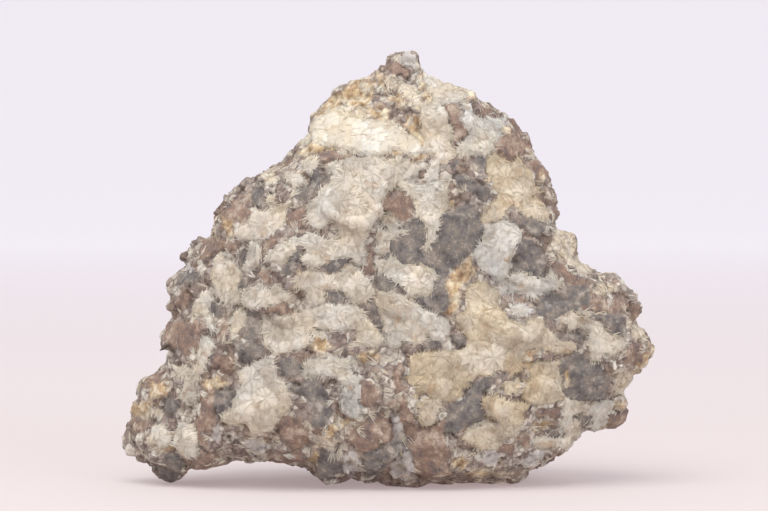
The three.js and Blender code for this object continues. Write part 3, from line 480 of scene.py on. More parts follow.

# %% [markdown]
# Mats of wavellite
#
# The crystals grew as thin mats that cover about half of the best face, with larger or smaller islands of
# stone between them. Their outlines are drawn from the photograph in the same way, crust by crust.

# %% Outlines of the mats
MATS = {
    "crown": [
        [(5.4, 61.2), (7, 61.6), (9, 60.2), (11.4, 58), (10.4, 56.8), (8, 57), (6.8, 56.6), (6.8, 57.6),
         (5.7, 58.6)],
        [(4.6, 56), (6.4, 57), (8.2, 56.4), (8.8, 55), (9.4, 53), (9.7, 51.8), (9, 50.4), (9.6, 49.6),
         (8.8, 48), (7, 47.6), (6.6, 48.6), (5.4, 49.4), (5.6, 50.8), (4.9, 52.6), (5.2, 54)],
        [(5.4, 46), (6.4, 48), (7.6, 47.6), (7.2, 45.4), (6, 45)],
    ],
    "brow": [
        [(11.3, 56.2), (12.4, 57), (12.8, 55), (14.6, 54.4), (16.4, 54.2), (17.4, 54.9), (17.2, 52.6),
         (16.4, 51.4), (15.4, 50.4), (15.8, 49.6), (14.6, 49), (13.2, 49.4), (10.4, 48.8), (10, 50.2),
         (11.6, 51.2), (12, 52.6), (11.4, 54)],
    ],
    "temple": [
        [(15, 49), (17.6, 48.6), (18.6, 47.6), (19.6, 48.4), (20.8, 46.8), (21.2, 45.6), (22, 44.6),
         (22.6, 43.6), (20.6, 42.4), (19.8, 42.2), (19.6, 41), (18.6, 41.4), (17.6, 40.8), (16.8, 41.6),
         (16.2, 42.4), (16.8, 43.6), (15.8, 44.2), (15.2, 46), (15, 47.6)],
        [(14.2, 39.4), (15.2, 41.4), (16.4, 42.6), (17, 41.6), (17.4, 40), (16.8, 39), (15.2, 38.6)],
        [(20, 42), (22, 42.6), (23.2, 41.6), (24, 40.4), (23.8, 39.4), (21.4, 40), (20.2, 40.6)],
    ],
    "shoulder": [
        [(-11.4, 52), (-10.6, 54.4), (-9, 55.8), (-7, 55.4), (-5.4, 54.8), (-3, 54.4), (-1, 54.2), (1, 54),
         (2.6, 52.6), (4, 51.8), (4.6, 50.6), (5.4, 49.6), (3.4, 49.2), (1, 49.9), (-0.6, 49.2), (-3, 49.4),
         (-5, 49.8), (-7.6, 50.2), (-10, 50.8), (-12.4, 50.9)],
    ],
    "column": [
        [(-9.8, 47.6), (-7, 48.2), (-5, 48.7), (-2, 48.7), (0, 48), (1.8, 48.8), (3.8, 48.2), (4.8, 47.2),
         (4.4, 46), (3, 45.4), (1.6, 44.8), (0.6, 43.8), (-0.6, 43.6), (-1.2, 41.8), (-1, 40.2),
         (-2.4, 39.4), (-2.8, 38), (-3.2, 36.6), (-4, 35.6), (-3.6, 34), (-3.3, 32.4), (-5, 32.6),
         (-5.6, 33.5), (-7.4, 33.6), (-9.8, 32.6), (-11.4, 32), (-12.8, 33.4), (-12.6, 34.8), (-13.4, 36),
         (-12.4, 37.4), (-10, 37.1), (-8.6, 36), (-6.8, 36.5), (-7.4, 37.8), (-8, 39.8), (-9, 39.6),
         (-9.8, 38.2), (-11.6, 38.2), (-12.6, 40), (-12.2, 41.6), (-10.6, 42.6), (-10, 44), (-8.6, 44.8),
         (-8, 46.4)],
        [(-13.2, 48), (-11.4, 48.8), (-10.6, 47.8), (-11.4, 46.6), (-12.6, 46.8)],
        [(-15.6, 46.4), (-13.4, 46.2), (-12.8, 45), (-14.2, 44.2), (-15.4, 45)],
    ],
    "shelf": [
        [(-13.6, 31.6), (-9.4, 31.3), (-7.6, 31), (-6, 32.6), (-4.2, 31.8), (-3.6, 30.6), (-2.4, 30),
         (-2.2, 28.2), (-3.2, 27), (-5, 26.7), (-6.5, 28), (-7.4, 28.9), (-9.8, 28.8), (-9.6, 27),
         (-11, 26.4), (-12.4, 26.8), (-13, 28.6), (-14.4, 30.2)],
    ],
    "apron": [
        [(-18.8, 25), (-17, 24.4), (-14, 25.4), (-11, 26.2), (-9.4, 26.8), (-6.4, 26.6), (-4, 26),
         (-3, 24.4), (-1.8, 23), (-0.8, 21.6), (-2, 20.2), (-4, 20.6), (-5.8, 20.6), (-5, 22.2),
         (-4.6, 23.4), (-6, 22.8), (-8, 22.6), (-10.8, 23.2), (-12, 22.6), (-11.4, 21.2), (-13.2, 20),
         (-16, 19.2), (-18.6, 20.4), (-19, 22.6)],
    ],
    "heart": [
        [(-1.6, 28.2), (0, 28.6), (1.4, 28), (2.4, 27.2), (4.4, 26.6), (5.4, 25.6), (6.6, 25.2),
         (8.2, 24.6), (9.2, 23.4), (9, 22), (8.2, 21.2), (6.8, 21.2), (6.4, 22.2), (5.6, 22.4), (5, 21),
         (3.6, 20.4), (2.4, 21.2), (1.6, 20.2), (0, 20.2), (-0.4, 22), (-0.8, 24), (-1.5, 25.6),
         (-2.2, 27)],
    ],
    "star": [
        [(-2, 33), (-1, 33.4), (0.6, 33.8), (1.6, 32.6), (3, 32), (4, 32.6), (5.6, 32.2), (7, 31.6),
         (7.2, 30.6), (6.8, 29.6), (6.4, 28.2), (5.2, 27.8), (4.4, 28.6), (3.4, 27.8), (2.2, 27.4),
         (2.8, 28.6), (1.4, 29.6), (0.6, 30.4), (-0.4, 31), (-1.8, 31.2)],
    ],
    "wedge": [
        [(1.4, 45), (4, 44.6), (6, 45), (8, 45), (9.2, 44.4), (9, 42.8), (8.8, 41.6), (8, 40.2), (7.4, 39),
         (7.8, 38), (7, 36.4), (6, 34.8), (5.2, 35.2), (6, 36.6), (5.8, 38), (5, 39.2), (4.2, 40.4),
         (4, 42.4), (2.6, 43.6)],
    ],
    "feather": [
        [(-1.6, 38), (0, 37.4), (1.4, 37.6), (2.8, 37.6), (1.6, 36.8), (0.4, 36.2), (-0.2, 35.4), (0, 34.7),
         (-1.2, 34.2), (-2, 34.4), (-1.6, 35.8), (-2, 36.8)],
        [(-0.8, 39.6), (0, 40.1), (0.8, 39.4), (1.4, 38.4), (0.4, 38), (-0.6, 38.4)],
    ],
    "pillar": [
        [(14.2, 37.6), (15.4, 38.5), (17, 39.2), (18.6, 38.8), (19.6, 37.6), (19.8, 36.4), (18.8, 35.4),
         (18.6, 33.8), (18, 32.6), (17.6, 31.2), (17.8, 29.4), (17.6, 28.2), (16.6, 28.2), (16.4, 29.8),
         (15.6, 31.2), (14.4, 31.2), (13.6, 32.2), (12.9, 34), (13.2, 35.6), (13.9, 36.4)],
    ],
    "fringe": [
        [(18.2, 31.2), (20, 31.2), (22, 30.8), (23.6, 30.6), (24.6, 31.4), (25.6, 30.4), (25.8, 29.4),
         (25.2, 28.6), (24, 28.8), (22.8, 28), (21.6, 27.6), (20.4, 28.4), (19, 28.4), (18.2, 28.2),
         (18, 29.8)],
        [(18.6, 26.4), (20, 26.6), (21.4, 25.6), (21, 24.8), (19.4, 25)],
    ],
    "field": [
        [(11.4, 28.4), (12.4, 29.6), (14, 30.2), (15.4, 29), (16.6, 28.2), (16.2, 27.2), (16.6, 26),
         (17, 25.4), (18.2, 24.2), (20, 23.2), (20.8, 22.8), (21.2, 24), (22, 24.2), (23.2, 24),
         (23.6, 22.6), (24.8, 21.6), (26, 21), (27.4, 20.8), (28.4, 20.2), (27.4, 19.4), (25.4, 19.2),
         (23.4, 19.4), (22, 20.4), (20.6, 20.2), (20.2, 18.4), (20, 16.8), (18.4, 16.2), (16.6, 16.6),
         (15, 16), (13.6, 16.2), (12.4, 15.2), (11, 14.4), (10.8, 13), (9.8, 12), (8, 12.2), (6.6, 12.8),
         (5, 13.6), (3.8, 13), (4.4, 14.4), (3.2, 15), (3, 17), (3.4, 19), (5, 19.2), (7, 19.4),
         (9.4, 19.6), (11, 19.6), (12, 20.6), (11.6, 22), (11, 23), (10.2, 24), (10.8, 25.2), (11.8, 26)],
        [(4, 11.6), (5.6, 12.2), (7.4, 12.2), (8, 11.2), (7, 10), (6.4, 8.6), (5, 8.4), (4.4, 9.8)],
    ],
    "band": [
        [(25.6, 24.4), (27, 25), (27.8, 25.6), (28.6, 24.4), (29.8, 24.8), (31, 23.8), (33.6, 22.2),
         (35, 21.8), (36.4, 20.6), (35.2, 19.8), (33.8, 19.2), (32.4, 19.6), (31.8, 18.2), (30.4, 18.2),
         (30.4, 19.8), (30.2, 21.6), (30.2, 22.8), (28.6, 23.2), (27.4, 22.8), (26.4, 23.6)],
    ],
    "slope": [
        [(-20.4, 17.4), (-18.6, 18.8), (-17.2, 18.6), (-16.8, 17), (-17.4, 15.6), (-16, 15), (-15, 13.2),
         (-14.6, 11.8), (-15.4, 10.4), (-16.4, 9.8), (-17, 8.6), (-17.4, 7.4), (-19, 7.6), (-20.6, 7.6),
         (-21.4, 9), (-23, 8.6), (-24.8, 9), (-25, 10.2), (-23.4, 10.8), (-23, 12.6), (-22.2, 14.4),
         (-22.6, 16.4), (-21.4, 17.2)],
    ],
    "hollow": [
        [(-13, 18), (-12.2, 18.6), (-10, 18.2), (-8, 18.8), (-6, 18.2), (-5.4, 16.4), (-4.4, 15.4),
         (-4.2, 13.4), (-4.4, 11.6), (-4, 10.4), (-5, 9.8), (-6.6, 10.2), (-7, 11.6), (-6.6, 13.4),
         (-6.8, 14.8), (-8, 15.6), (-10, 16), (-13, 16)],
    ],
    "fan": [
        [(-22.8, 37.6), (-21, 38.6), (-20.6, 40.2), (-19, 40.4), (-17.4, 40.8), (-16, 41.6), (-14.8, 42),
         (-15.4, 40.6), (-15.2, 39.4), (-15.8, 38.4), (-17, 37.8), (-18.6, 36.8), (-20.4, 36.4),
         (-22.4, 36.2)],
        [(-18.4, 42.8), (-17.4, 43), (-16.8, 41.8), (-17.4, 40.8), (-18.2, 41.6)],
    ],
    "left_star": [
        [(-18.4, 33.2), (-18, 34.4), (-16.4, 35.4), (-14.8, 36.2), (-13.6, 36.4), (-14.2, 35), (-15, 33.6),
         (-16, 33)],
        [(-20.6, 36), (-19.6, 35.8), (-19.2, 34.2), (-19.8, 32.8), (-21.2, 31.4), (-22.2, 32),
         (-21.2, 33.4), (-20.8, 34.8)],
    ],
    "left_band": [
        [(-25.6, 34), (-24.6, 33.8), (-23.6, 32.2), (-22.4, 31.4), (-22.6, 30.2), (-22.8, 28.6),
         (-22.2, 27.2), (-23.6, 26.6), (-25, 26.8), (-26, 28.4), (-26.2, 30.4), (-26, 32.2)],
        [(-21.6, 28.8), (-20.4, 29.2), (-18.4, 28.6), (-17, 29.6), (-15.4, 28.6), (-14.6, 28),
         (-15.6, 27.2), (-16.6, 26.6), (-18.8, 26.4), (-20.4, 26), (-21.8, 26.6)],
        [(-29, 27.4), (-27, 28.8), (-26.4, 27.2), (-27.4, 26), (-28.8, 24.6), (-29.4, 25.8)],
        [(-24, 24.2), (-22.4, 26), (-21.2, 25.2), (-21.6, 23.4), (-23.4, 22.2), (-23.8, 23)],
        [(-28, 25.2), (-27, 25.8), (-26.2, 24.4), (-26, 22.6), (-26.8, 23)],
    ],
    "left_knee": [
        [(-27.4, 22), (-26.2, 20.6), (-26.8, 18.6), (-28.2, 16.4), (-29.2, 14.4), (-29, 12.6),
         (-30.4, 11.8), (-31.6, 12.4), (-30.6, 14), (-29.8, 16.2), (-28.6, 18), (-28.2, 20.2)],
        [(-32.2, 17.2), (-30.2, 17.6), (-29.8, 16.6), (-31, 15.8)],
    ],
    "left_foot": [
        [(-35.6, 8.2), (-34.4, 8.4), (-33, 7.2), (-32.6, 5.8), (-34.2, 5.2), (-35.8, 6)],
        [(-31.8, 8.6), (-29, 8.8), (-28.8, 6), (-29, 3.8), (-30.8, 3.8), (-32, 5.4)],
    ],
    "lower_right": [
        [(14.2, 12.4), (16.4, 12.8), (18.6, 12), (20.8, 11.4), (20, 9.8), (19.6, 8.2), (18.8, 7), (17, 7.4),
         (16.4, 8.8), (15, 10.2), (14.4, 11.2)],
        [(11.4, 6.4), (12, 7.6), (13.4, 8.4), (14.6, 9), (15.8, 8), (16.8, 7), (17, 5.8), (15.6, 5),
         (13.6, 4.8)],
    ],
    "pale": [
        [(22, 18), (24, 18), (25.4, 18), (25.6, 16.2), (25.8, 14.4), (26.2, 12.8), (25, 12), (23, 11.6),
         (21.4, 11.6), (20.6, 12.6), (20.6, 14.4), (21.6, 15.6), (21, 16.8)],
        [(17.4, 15), (18.6, 15.2), (19, 13.8), (18.2, 12.8), (17.2, 13.4)],
    ],
    "right_foot": [
        [(26.4, 12.4), (28.4, 11.8), (30, 11.2), (32.4, 12), (34, 12.2), (33.2, 10.4), (32.4, 8.4),
         (31, 7.8), (30.6, 8.8), (30.6, 10.2), (27.8, 10.3), (27.4, 9.2), (28.8, 8.2), (28.6, 6.8), (27, 7),
         (26, 8.8), (26.4, 10.2)],
        [(21.4, 6.2), (24, 6.6), (26.8, 6.4), (28, 6), (26.4, 5), (24.8, 5.6), (22.2, 5.4)],
    ],
}
print(sum(len(outlines) for outlines in MATS.values()), "patches in", len(MATS), "mats")

# %% [markdown]
# How deep inside a mat
#
# A mat on the front is where the camera sees a point inside its outline. On the back it is the stone near
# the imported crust, found by the distance to that solid and made ragged by noise. The depth inside is kept
# for each point: the stone is flattened below a mat, and the mat's skin is lifted by it.

# %% Depth inside the mats
MAT_EDGE = -0.15  # the depth at which the mat's skin ends
MAT_GROWTH = 0.15  # how far a mat grew past its drawn outline
MAT_SHAKE = 0.8
BACK_REACH, BACK_SPREAD, BACK_SEARCH = 2.3, 4.0, 7  # all in mm
BACK_PATCH = 4.5  # width of the bays and lobes of a mat on the back, in mm


def depth_behind(crust):
    """The depth inside a mat on the back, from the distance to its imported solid."""
    found = np.full(len(places), OUTSIDE)
    for i in np.flatnonzero(places[:, 1] > 2):
        hit = crust.find_nearest(Vector(places[i]) * MM, BACK_SEARCH * MM)
        if hit[0]:
            spread = BACK_SPREAD * noise.noise(Vector(places[i]) / BACK_PATCH) + 0.8 * warp[i, 1]
            found[i] = BACK_REACH - hit[3] / MM + spread
    return found


on_front = (places[:, 1] < 2) & (normals[:, 1] < 0.15)
shaken_x = seen_x + MAT_SHAKE * shake * warp[:, 0]
shaken_z = seen_z + MAT_SHAKE * shake * warp[:, 2]
mat_depth = {}
for name in CRUSTS:
    outlines = MATS.get(name.removeprefix("wavellite_"))
    if outlines:
        found = distance_in_outlines(shaken_x, shaken_z, outlines)
        mat_depth[name] = np.where(on_front, found + MAT_GROWTH, OUTSIDE)
    else:
        crust = BVHTree.FromObject(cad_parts[name], bpy.context.evaluated_depsgraph_get())
        mat_depth[name] = depth_behind(crust)
deepest = np.max(list(mat_depth.values()), axis=0)
print("mats cover", round(100 * np.mean(deepest > 0)), "% of the lump")

# %% [markdown]
# Carving the lump
#
# Each point moves along its normal. The cells give steps with grooves between them, but a slate or brown
# fragment is one hard bit, so it keeps a nearly flat top that stands a little proud, with a narrow groove
# round it. The cream scar is a smooth break. Below a mat the stone is flattened, because its steps would
# show through. A displacement modifier would do the same, but here the numbers of each point are already
# known.

# %% Height of the carving
STEP, BIG_STEP = 0.7, 0.5  # heights of the small and of the large cells' faces, in mm
SMALL_GROOVE, BIG_GROOVE = (0.20, 0.10), (0.24, 0.06)  # depth in mm and width in cells
LOWEST, HIGHEST, SUNK = -0.6, 0.5, 0.05  # limits of the carving, in mm
FRAGMENT_RISE = 0.12


def grooves(border, depth, width):
    return depth * np.exp(-((border / width) ** 2))


hard = np.maximum(inside["slate"], inside["brown"])
solid_stone = np.clip(hard / 0.3, 0, 1)
smooth_scar = np.clip(inside["cream"] / 0.6, 0, 1)
groove = grooves(border, *SMALL_GROOVE) + grooves(big_border, *BIG_GROOVE)
# A fragment loses most of the small steps and part of the rest, the scar most of all steps
small_steps = (STEP * face - groove) * (1 - 0.85 * solid_stone)
relief = (small_steps + BIG_STEP * big_face * (1 - 0.4 * solid_stone)) * (1 - 0.8 * smooth_scar)
relief += 0.24 * broad + 0.13 * grain * (1 - 0.4 * solid_stone) * (1 - 0.6 * smooth_scar)
relief += FRAGMENT_RISE * solid_stone - grooves(hard, FRAGMENT_RISE, 0.2)
relief = np.clip(relief - relief.mean(), LOWEST, HIGHEST) - SUNK
under_mat = np.clip(0.4 + deepest / 0.8, 0, 1)
relief = relief * (1 - 0.9 * under_mat) - 0.1 * under_mat
print("carved between", round(relief.min(), 2), "and", round(relief.max(), 2), "mm")

# %% Carve the lump
FOOT_KEPT = 0.8  # the carving fades out this near to the floor, in mm
CREASE_ANGLE = math.radians(38)
lifted = np.clip(places[:, 2] / FOOT_KEPT, 0, 1)
moved = places + normals * (relief * lifted)[:, None]
moved[:, 2] = np.maximum(moved[:, 2], 0)
lump.data.vertices.foreach_set("co", (moved * MM).ravel())
lump.data.update()
for kind, values in inside.items():
    point_values(lump, kind, values)
# The groove depth is kept for the painted shade that darkens the grooves in the stone's finish
point_values(lump, "groove", groove * (1 - solid_stone))
deselect_all()
lump.select_set(True)
bpy.context.view_layer.objects.active = lump
bpy.ops.object.shade_smooth_by_angle(angle=CREASE_ANGLE)
places, normals = read_points(lump)
seen_x, seen_z = as_seen(places)
print("the carved lump is", round(np.ptp(places[:, 0]), 1), "mm wide")

# %% [markdown]
# Middles of the stars
#
# In a mat the needles grew outwards from many points, so each patch is a star or a fan. Where the
# photograph shows a clear star its middle is given. Between those the middles are spread by chance,
# each at least a few millimetres from the next.

# %% Middles of the stars
# Each is x and z on the front and the length of its needles, in mm
STARS = [
    (8.5, 59.1, 2.4), (7.3, 54.6, 2.6), (7.4, 50.8, 2.6), (13.9, 52.8, 2.8), (17.5, 45.6, 3.4),
    (16.0, 40.8, 2.0), (21.8, 41.0, 2.2), (-6.5, 45.3, 3.2), (-2.4, 46.4, 3.0), (-4.6, 41.4, 3.6),
    (-10.6, 40.2, 2.4), (-2.6, 43.0, 2.6), (-10.6, 35.6, 3.6), (-6.2, 35.6, 2.6), (-11.8, 29.4, 3.0),
    (-5.2, 29.8, 3.0), (-8.0, 25.0, 3.2), (-14.4, 22.8, 3.6), (-17.2, 22.4, 2.8), (-3.6, 23.0, 2.6),
    (0.2, 31.9, 2.4), (4.4, 30.4, 3.0), (6.0, 42.0, 3.2), (6.6, 38.6, 2.6), (-1.6, 36.9, 3.0),
    (-0.6, 39.0, 1.8), (16.6, 36.6, 3.0), (15.4, 33.2, 2.8), (17.0, 30.6, 2.8), (21.4, 29.4, 3.2),
    (24.4, 30.0, 2.0), (13.6, 27.2, 3.2), (1.0, 25.6, 3.2), (1.4, 22.6, 2.8), (6.2, 23.6, 2.8),
    (14.8, 23.2, 3.6), (18.8, 21.6, 3.2), (23.6, 21.0, 2.8), (15.6, 18.6, 3.2), (9.8, 17.2, 3.2),
    (6.2, 16.6, 3.0), (8.0, 13.8, 2.4), (5.8, 10.4, 2.4), (27.4, 24.2, 1.8), (31.4, 22.0, 2.6),
    (34.0, 20.4, 2.2), (-20.4, 15.6, 3.0), (-18.0, 12.6, 3.4), (-21.8, 10.4, 2.8), (-18.8, 9.0, 2.4),
    (-9.6, 17.4, 2.6), (-6.0, 15.0, 2.6), (-5.4, 11.6, 2.2), (-18.6, 38.4, 3.4), (-13.8, 36.2, 4.2),
    (-20.2, 34.4, 2.4), (-24.4, 31.0, 2.8), (-24.2, 28.2, 2.4), (-18.4, 27.6, 2.8), (-28.0, 26.6, 2),
    (-22.6, 24.4, 2.0), (-28.6, 16.0, 3.4), (-30.2, 13.2, 2.4), (-34.2, 6.8, 2.2), (-30.4, 6.4, 2.6),
    (17.2, 11.0, 3.0), (18.4, 8.8, 2.4), (14.2, 6.8, 2.8), (23.6, 14.8, 2.8), (27.0, 11.2, 2.2),
    (32.0, 10.4, 2.4), (-7.4, 52.8, 3.0), (-1.6, 52.0, 3.2), (2.8, 51.0, 2.4),
]
STAR_SPACING = 3.0
STAR_SEARCH = 0.8  # how far from its drawn place a middle may be found, in mm
SPREAD_LENGTH = (2.0, 3.4)
random = np.random.default_rng(5)


def star_middles(name, inner):
    """Indices of points that are middles, with the length of their needles."""
    chosen = []
    front = name.removeprefix("wavellite_") in MATS
    for x, z, length in STARS if front else []:
        away = np.hypot(seen_x[inner] - x, seen_z[inner] - z)
        if len(away) and away.min() < STAR_SEARCH:
            chosen.append((inner[away.argmin()], length))
    for i in random.permutation(inner):
        apart = [min(STAR_SPACING, 0.75 * length) for _, length in chosen]
        near = [np.linalg.norm(places[i] - places[j]) < gap for (j, _), gap in zip(chosen, apart)]
        if not any(near):
            chosen.append((i, random.uniform(*SPREAD_LENGTH)))
    return chosen


print(len(STARS), "stars placed by eye")

# %% [markdown]
# The skin of a mat
#
# A mat is a copy of the lump's own faces inside its outline, lifted off the stone and rounded down at the
# edge, so it follows every step of the stone below. It swells a little round each star's middle and has a
# crease where two stars meet. Needles alone would need many times the faces to close over the stone.

# %% The skin of a mat
MAT_RISE, RISE_OVER = 0.42, 0.6  # how high a mat stands and how far in from its edge it gets there, in mm
DOME, DOME_REACH = 0.15, 3.2
CREASE, CREASE_WIDTH = 0.13, 0.4
NO_STAR = 99.0  # stands for the distance to a second star where there is none
STAR_OVERLAP = 0.15  # how far the needles of one star reach into the next, in mm


def mat_faces(depth):
    """The points of the lump inside a mat, and its faces with those points numbered from zero."""
    flat = np.empty(len(lump.data.loops), dtype=np.int64)
    lump.data.loops.foreach_get("vertex_index", flat)
    quads = flat.reshape(-1, 4)
    kept = quads[(depth[quads] > MAT_EDGE).all(axis=1)]
    used, renamed = np.unique(kept, return_inverse=True)
    return used, renamed.reshape(-1, 4)


def two_nearest(to_stars):
    """The distances to the nearest and to the second star, for each point of a mat."""
    return np.sort(np.vstack([to_stars, np.full(to_stars.shape[1], NO_STAR)]), axis=0)[:2]


def domed_skin(depth, used, nearest, second):
    """The places of a mat's points, from their depth inside it and their distances to its stars."""
    dome = DOME * np.clip(1 - nearest / DOME_REACH, 0, 1)
    dome -= CREASE * np.exp(-(((second - nearest) / CREASE_WIDTH) ** 2))
    felt = 0.02 * grain[used] + 0.03 * broad[used] + dome * np.clip(depth[used] / 0.5, 0, 1)
    rise = np.clip((depth[used] - MAT_EDGE) / RISE_OVER, 0, 1)
    height = MAT_EDGE + MAT_RISE * np.sin(rise * math.pi / 2)
    return places[used] + normals[used] * (height + felt)[:, None]


def star_room(depth, used, to_star, to_others):
    """How far each point is inside the part of the mat that belongs to one star."""
    room = depth.copy()
    room[used] = np.minimum(depth[used], (to_others - to_star) / 2 + STAR_OVERLAP)
    return room


print("a mat stands", MAT_EDGE + MAT_RISE, "mm off the stone")

# %% [markdown]
# Needles
#
# The needles are straight, long and thin, and their ends make the mat's feathered edge. Hair curves would
# be the usual way, but a part that is exported needs faces. So each needle is a low ridged blade of six
# faces, with three rows of points and a tip. Every row is dropped onto what is under it, along the star's
# outward direction, so that the needle follows the mat and its sides are sunk.

# %% A pile of needles
class Pile:
    """Points and faces of one crust, with the values that its finish reads."""

    def __init__(self, surface):
        self.surface = surface
        self.points, self.faces, self.tones, self.shares, self.middles = [], [], [], [], []
        self.middle, self.tone = None, 0.0  # those of the star that is being laid

    def add(self, points, faces, tones, shares, middles):
        start = len(self.points)
        self.points.extend(points)
        self.faces.extend(tuple(start + i for i in face) for face in faces)
        self.tones.extend(tones)
        self.shares.extend(shares)
        self.middles.extend(middles)

    def made(self, name):
        """The mesh object. Its points know their tone, their place along the needle and their star."""
        piece = mesh_object(name, [tuple(point * MM) for point in self.points], self.faces)
        point_values(piece, "tone", self.tones)
        point_values(piece, "share", self.shares)
        point_vectors(piece, "middle", np.array(self.middles) * MM)
        return piece


stone_surface = BVHTree.FromObject(lump, bpy.context.evaluated_depsgraph_get())
nearest_point = KDTree(len(places))
for i, place in enumerate(places):
    nearest_point.insert(place, i)
nearest_point.balance()
print("needles can be laid on", len(places), "points of stone")

# %% Lay one needle
NEEDLE_ROWS = (0.0, 0.35, 0.7, 1.0)
NEEDLE_FACES = [(0, 3, 4, 1), (1, 4, 5, 2), (3, 6, 7, 4), (4, 7, 8, 5), (6, 9, 7), (7, 9, 8)]
NEEDLE_POINTS = 10
DROP_FROM, DROP_WITHIN = 3, 6  # where a row starts above its star's plane and how far it may fall, in mm
LIFT, ARCH, SIDES_SUNK = (-0.02, 0.07), 0.05, 0.08  # of the ridge and of the sides, in mm
TAPER = 0.6  # how much narrower a needle is at its tip
LONGEST_STRETCH = 1.7  # a needle that would be this much longer than planned hangs over a step


def laid_on(surface, above, outward):
    for under in (surface, stone_surface):
        hit = under.ray_cast(Vector(above) * MM, Vector(-outward), DROP_WITHIN * MM)[0]
        if hit:
            return np.array(hit) / MM
    return None


def add_needle(pile, root, along, outward, reach, shares, half_width):
    """A needle from one distance along its direction to another, laid on what is under it."""
    across = np.cross(outward, along) * half_width
    lift = random.uniform(*LIFT)
    start, length = reach[0], reach[1] - reach[0]
    points, stored = [], []
    for row in NEEDLE_ROWS:
        ground = laid_on(pile.surface, root + along * (start + length * row) + outward * DROP_FROM, outward)
        if ground is None:
            return
        ridge = ground + outward * (lift + ARCH * math.sin(math.pi * row) + ARCH * row)
        share = shares[0] + (shares[1] - shares[0]) * row
        if row == 1.0:
            points.append(ridge)
            stored.append(share)
        else:
            half = across * (1 - TAPER * row)
            points.extend([ridge - half - outward * SIDES_SUNK, ridge, ridge + half - outward * SIDES_SUNK])
            stored.extend([share] * 3)
    tone = 0.5 * pile.tone + 0.5 * random.random()
    if np.linalg.norm(points[-1] - points[1]) < LONGEST_STRETCH * length:
        pile.add(points, NEEDLE_FACES, [tone] * NEEDLE_POINTS, stored, [pile.middle] * NEEDLE_POINTS)


print("a needle has", len(NEEDLE_FACES), "faces")

# %% [markdown]
# Stars and fringes
#
# A star is many needles at chance angles round its middle, each ending where its star's part of the mat
# ends. The eye finds wavellite by the feathered rim of its mats, so a second set of needles crosses the
# rim, each pointing away from the nearest middle, in tufts of changing length.

# %% Needles of one star
NEEDLES_PER_MM2 = 12.0
# Where a needle starts and how long it is, as shares of the star's length
STARTS_WITHIN, NEEDLE_SHARE, ENDS_WITHIN, SHORTEST = 0.75, (0.25, 0.6), 1.05, 0.2
STEP_BACK = 0.12  # how much shorter it is made at a time until it ends inside its room
OVERHANG = (-0.4, 0.1)  # the depth inside its room at which it may end, in mm
NEEDLE_HALF_WIDTH = (0.04, 0.075)


def frame_of(outward):
    upright = np.array([0.0, 0.0, 1.0]) if abs(outward[2]) < 0.9 else np.array([0.0, -1.0, 0.0])
    side = np.cross(upright, outward)
    side /= np.linalg.norm(side)
    return side, np.cross(outward, side)


def add_star(pile, room, centre, outward, length, density):
    side, up = frame_of(outward)
    for angle in random.uniform(0, 2 * math.pi, int(density * NEEDLES_PER_MM2 * length**1.6)):
        start = STARTS_WITHIN * random.random()
        end = min(start + random.uniform(*NEEDLE_SHARE), ENDS_WITHIN)
        along = side * math.cos(angle) + up * math.sin(angle)
        overhang = random.uniform(*OVERHANG)
        while end > start and room[nearest_point.find(centre + along * end * length)[1]] < overhang:
            end -= STEP_BACK
        if end - start > SHORTEST:
            reach = (start * length, end * length)
            half_width = random.uniform(*NEEDLE_HALF_WIDTH)
            add_needle(pile, centre, along, outward, reach, (start, end), half_width)


print(int(NEEDLES_PER_MM2 * STAR_SPACING**1.6), "needles are tried for a star of", STAR_SPACING, "mm")

# %% Fringe over a mat's edge
EDGE_NEEDLES = 3  # for each point of the mesh near a mat's edge
ASTRAY, ROOT_SPREAD = 0.14, 0.2  # how much they point astray, in radians, and stand apart, in mm
ROOT_BACK, TIP_SPREAD = (0.5, 1.2), (-0.1, 0.25)  # how far back they start and how their tips vary, in mm
TUFT_RATE = 1.3
EDGE_HALF_WIDTH = (0.06, 0.12)
TOO_NEAR = 0.3  # this near to a middle there is no direction away from it


def add_edge(pile, edge, middles, outwards, star_tones):
    """Needles that end in a fringe over the mat's edge, each pointing away from the nearest star's middle."""
    for place in edge:
        nearest = np.linalg.norm(middles - place, axis=1).argmin()
        outward = outwards[nearest]
        away = place - middles[nearest]
        away -= outward * away.dot(outward)
        if np.linalg.norm(away) < TOO_NEAR:
            continue
        away /= np.linalg.norm(away)
        pile.middle, pile.tone = middles[nearest], star_tones[nearest]
        tuft = 0.5 + 0.5 * noise.noise(Vector(place) * TUFT_RATE)
        for _ in range(EDGE_NEEDLES):
            turn = random.normal(0, ASTRAY)
            along = away * math.cos(turn) + np.cross(outward, away) * math.sin(turn)
            root = place + np.cross(outward, away) * random.uniform(-ROOT_SPREAD, ROOT_SPREAD)
            reach = (-random.uniform(*ROOT_BACK), tuft + random.uniform(*TIP_SPREAD))
            half_width = random.uniform(*EDGE_HALF_WIDTH)
            add_needle(pile, root, along, outward, reach, (0.5, 1.0), half_width)


print(EDGE_NEEDLES, "needles for each point of a rim")

# %% Build every crust
SPARSE = {"wavellite_shoulder": 0.2}  # the shoulder is worn smooth, so few of its needles stand out
INNER_DEPTH, RIM_DEPTH = 0.25, 0.4  # how deep a star's middle is at least, and how deep the rim goes, in mm
SKIN_SHARE = 0.7
LONE_STAR = 1.5  # needle length in a mat that is too small for a middle


